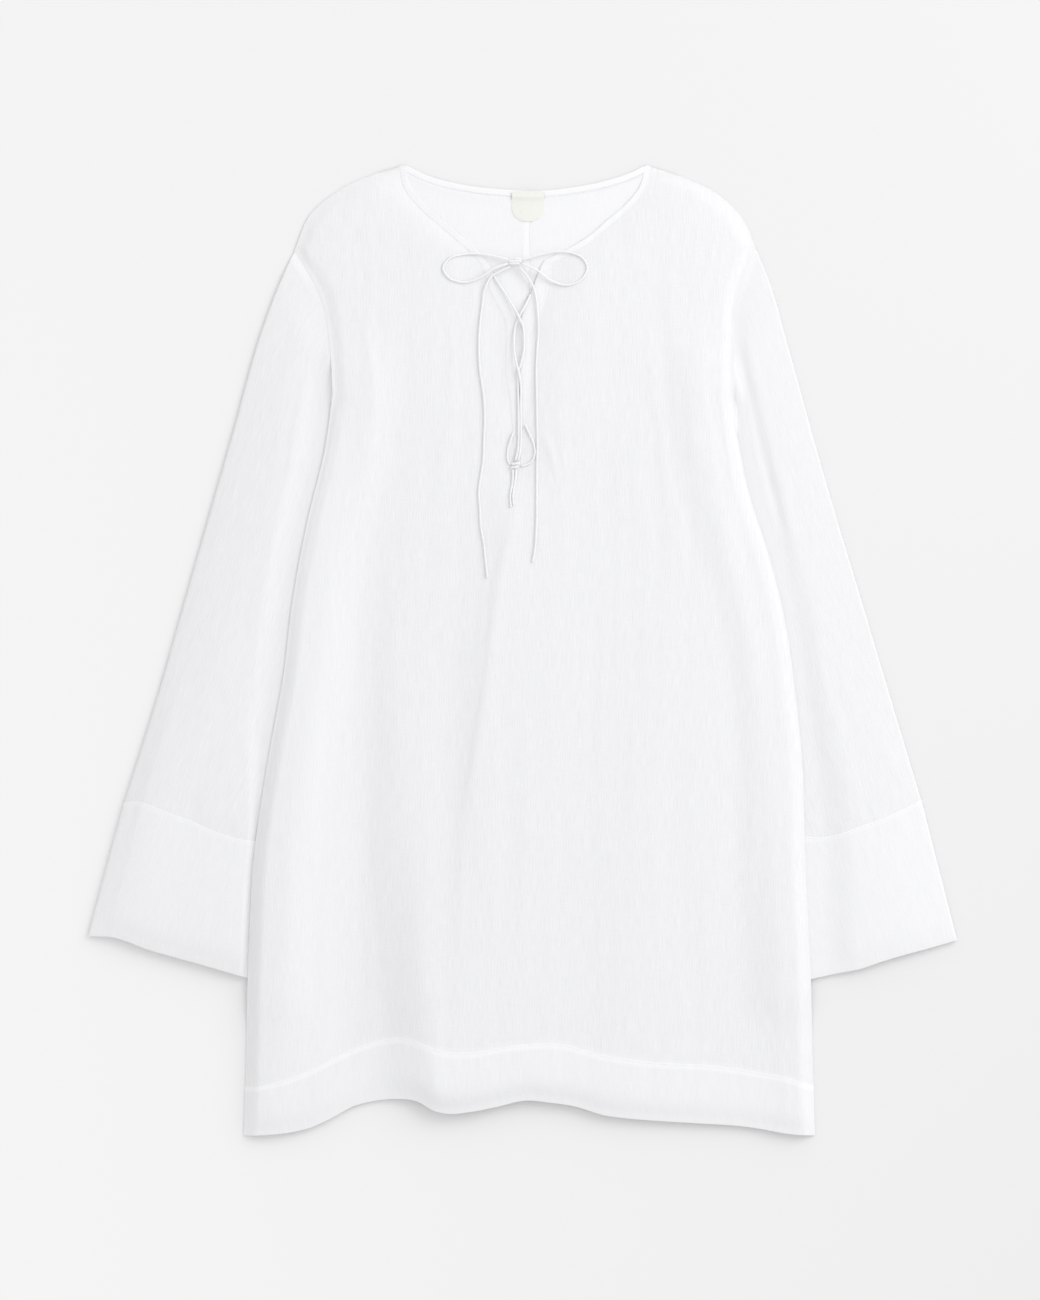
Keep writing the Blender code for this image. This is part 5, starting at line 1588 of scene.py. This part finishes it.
# %% Rows of stitches
STITCH_LENGTH = 2.1
STITCH_PITCH = 2.9
STITCH_HALF_WIDTH = 0.24
STITCH_HEIGHT = 0.22
LOZENGE = np.array([(-0.5, 0.0, -0.4), (-0.25, -1.0, 0.0), (-0.25, 0.0, 1.0), (-0.25, 1.0, 0.0),
                    (0.25, -1.0, 0.0), (0.25, 0.0, 1.0), (0.25, 1.0, 0.0), (0.5, 0.0, -0.4),
                    (-0.25, 0.0, -0.6), (0.25, 0.0, -0.6)])
LOZENGE_FACES = np.array([(0, 2, 1), (0, 3, 2), (0, 8, 3), (0, 1, 8), (7, 4, 5), (7, 5, 6),
                          (7, 6, 9), (7, 9, 4), (1, 2, 5), (1, 5, 4), (2, 3, 6), (2, 6, 5),
                          (3, 8, 9), (3, 9, 6), (8, 1, 4), (8, 4, 9)])


def add_stitches(name, line):
    """Lozenges along a 3-D line: p + a L tangent + b W side + c H up for every stitch."""
    reach = walked(line)
    at = np.arange(STITCH_PITCH / 2, reach[-1], STITCH_PITCH)
    place, ahead, behind = [read_at(line, reach, at + step) for step in (0.0, PROBE, -PROBE)]
    tangent = (ahead - behind) / np.linalg.norm(ahead - behind, axis=1, keepdims=True)
    side = np.cross((0.0, 0.0, 1.0), tangent)
    side /= np.linalg.norm(side, axis=1, keepdims=True)
    up = np.cross(tangent, side)
    a, b, c = (LOZENGE * (STITCH_LENGTH, STITCH_HALF_WIDTH, STITCH_HEIGHT)).T
    points = (place[:, None] + a[None, :, None] * tangent[:, None]
              + b[None, :, None] * side[:, None] + c[None, :, None] * up[:, None])
    faces = LOZENGE_FACES[None, :, ::-1] + (len(a) * np.arange(len(at)))[:, None, None]
    uv = np.stack([a[None] + at[:, None], np.broadcast_to(b, (len(at), len(b)))], axis=-1)
    add_mesh(f"{name}_stitches", points.reshape(-1, 3), faces.reshape(-1, 3), "cord",
             uv.reshape(-1, 2))
    print(name, len(at), "stitches")


print(len(LOZENGE_FACES), "faces in a stitch")

# %% Stitches on every seam
SEAM_TO_STITCH = 1.4
seam_x = hem_points[0, 3:-3, 0]
seam_y = hem_points[0, 3:-3, 1] - SEAM_TO_STITCH
add_stitches("hem", np.column_stack([seam_x, seam_y, front_hem_top(seam_x, seam_y)]))
for side in SIDES:
    first, second = cuff_rings[side][0, 4:-4], cuff_rings[side][1, 4:-4]
    upper = slice(0, SLEEVE_COLUMNS - 8)
    share = SEAM_TO_STITCH / float(np.linalg.norm(second - first, axis=1).mean())
    add_stitches(f"{side}_cuff", (first + share * (second - first))[upper])
STITCH_COLUMN = 1
for name, strip in binding_strips.items():
    add_stitches(name, strip[2:-2, STITCH_COLUMN])
add_stitches("neck_label", np.stack([x, y, z + 0.02], axis=-1)[6, 2:-2])

# %% [markdown]
# ## Floor and light
#
# The dress lies on a plain pale floor. A hard lamp would drown the fine creases in black
# shadows, so most of the light is even and comes from all around. A large softbox at the upper
# right gives the low shadows that lie left of and below each edge, and its light falls off a
# little towards the lower left.

# %% Softbox and even light
SKY_LIGHT = 0.93
SOFTBOX_WATTS = 24.4
SOFTBOX_SIZE = 1.6
SOFTBOX_DISTANCE = 2.6
SOFTBOX_ELEVATION = math.radians(33.0)
SOFTBOX_AZIMUTH = math.radians(33.0)
world = bpy.data.worlds.new("studio")
world.use_nodes = True
set_inputs(world.node_tree.nodes["Background"],
           {"Color": (1.0, 1.0, 1.0, 1.0), "Strength": SKY_LIGHT})
bpy.context.scene.world = world
towards = Vector((math.cos(SOFTBOX_ELEVATION) * math.cos(SOFTBOX_AZIMUTH),
                  math.cos(SOFTBOX_ELEVATION) * math.sin(SOFTBOX_AZIMUTH),
                  math.sin(SOFTBOX_ELEVATION)))
softbox_data = bpy.data.lights.new("softbox", "AREA")
softbox_data.shape = "SQUARE"
softbox_data.size = SOFTBOX_SIZE
softbox_data.energy = SOFTBOX_WATTS
softbox = add_object("softbox", softbox_data)
softbox.location = towards * SOFTBOX_DISTANCE
softbox.rotation_euler = towards.to_track_quat("Z", "Y").to_euler()
softbox.visible_camera = False
bpy.context.scene.view_settings.view_transform = "Standard"
bpy.context.scene.view_settings.look = "None"
print("softbox", SOFTBOX_WATTS, "watts at", SOFTBOX_DISTANCE, "m")

# %% Floor
FLOOR_HALF = 12.0
FLOOR_Z = -0.0004
FLOOR_GREY = 0.811
FLOOR_FALL = 0.145
FALL_TURN = math.radians(22.0)
FALL_REACH = 0.8
floor_mesh = bpy.data.meshes.new("floor")
floor_mesh.from_pydata([(FLOOR_HALF * x, FLOOR_HALF * y, FLOOR_Z)
                        for x, y in ((-1, -1), (1, -1), (1, 1), (-1, 1))], [], [(0, 1, 2, 3)])
floor = add_object("floor", floor_mesh)
floor_material = bpy.data.materials.new("floor")
floor_material.use_nodes = True
tree = floor_material.node_tree
floor_shader = tree.nodes["Principled BSDF"]
set_inputs(floor_shader, {"Roughness": 1.0, "Specular IOR Level": 0.0})
# The backdrop is a shade paler where the softbox reaches it less, so it stays one even tone
place = tree.nodes.new("ShaderNodeTexCoord")
turn = tree.nodes.new("ShaderNodeMapping")
set_inputs(turn, {"Rotation": (0.0, 0.0, -FALL_TURN)})
parts = tree.nodes.new("ShaderNodeSeparateXYZ")
share = tree.nodes.new("ShaderNodeMapRange")
set_inputs(share, {"From Min": -FALL_REACH, "From Max": FALL_REACH})
tree.links.new(place.outputs["Object"], turn.inputs["Vector"])
tree.links.new(turn.outputs["Vector"], parts.inputs["Vector"])
tree.links.new(parts.outputs["X"], share.inputs["Value"])
pale = FLOOR_GREY * (1 + FLOOR_FALL * FALL_REACH)
deep = FLOOR_GREY * (1 - FLOOR_FALL * FALL_REACH)
tone = ramp(tree, share.outputs["Result"],
            ((0.0, (pale, pale, pale, 1.0)), (1.0, (deep, deep, deep, 1.0))))
tree.links.new(tone, floor_shader.inputs["Base Color"])
floor_mesh.materials.append(floor_material)
print("floor", 2 * FLOOR_HALF, "m wide")

# %% [markdown]
# ## Free cords
#
# The free cords are listed with how each one ends, at a knot or bare, and each one's centreline
# is taken in metres.

# %% Last piece
print("sheets declared, the last", label.name)

# %% Free cords and how they end
CORD_ENDS = {"bow_loop_left": "knot", "bow_loop_right": "knot", "bow_tail_left": "bare",
             "bow_tail_right": "bare", "lower_loop_left": "knot", "lower_loop_right": "knot",
             "lower_tail_left": "bare", "lower_tail_right": "bare"}
for name, end in CORD_ENDS.items():
    line = lines[name] * MM


print("cords declared:", ", ".join(CORD_ENDS))

# %% End
bpy.context.view_layer.update()
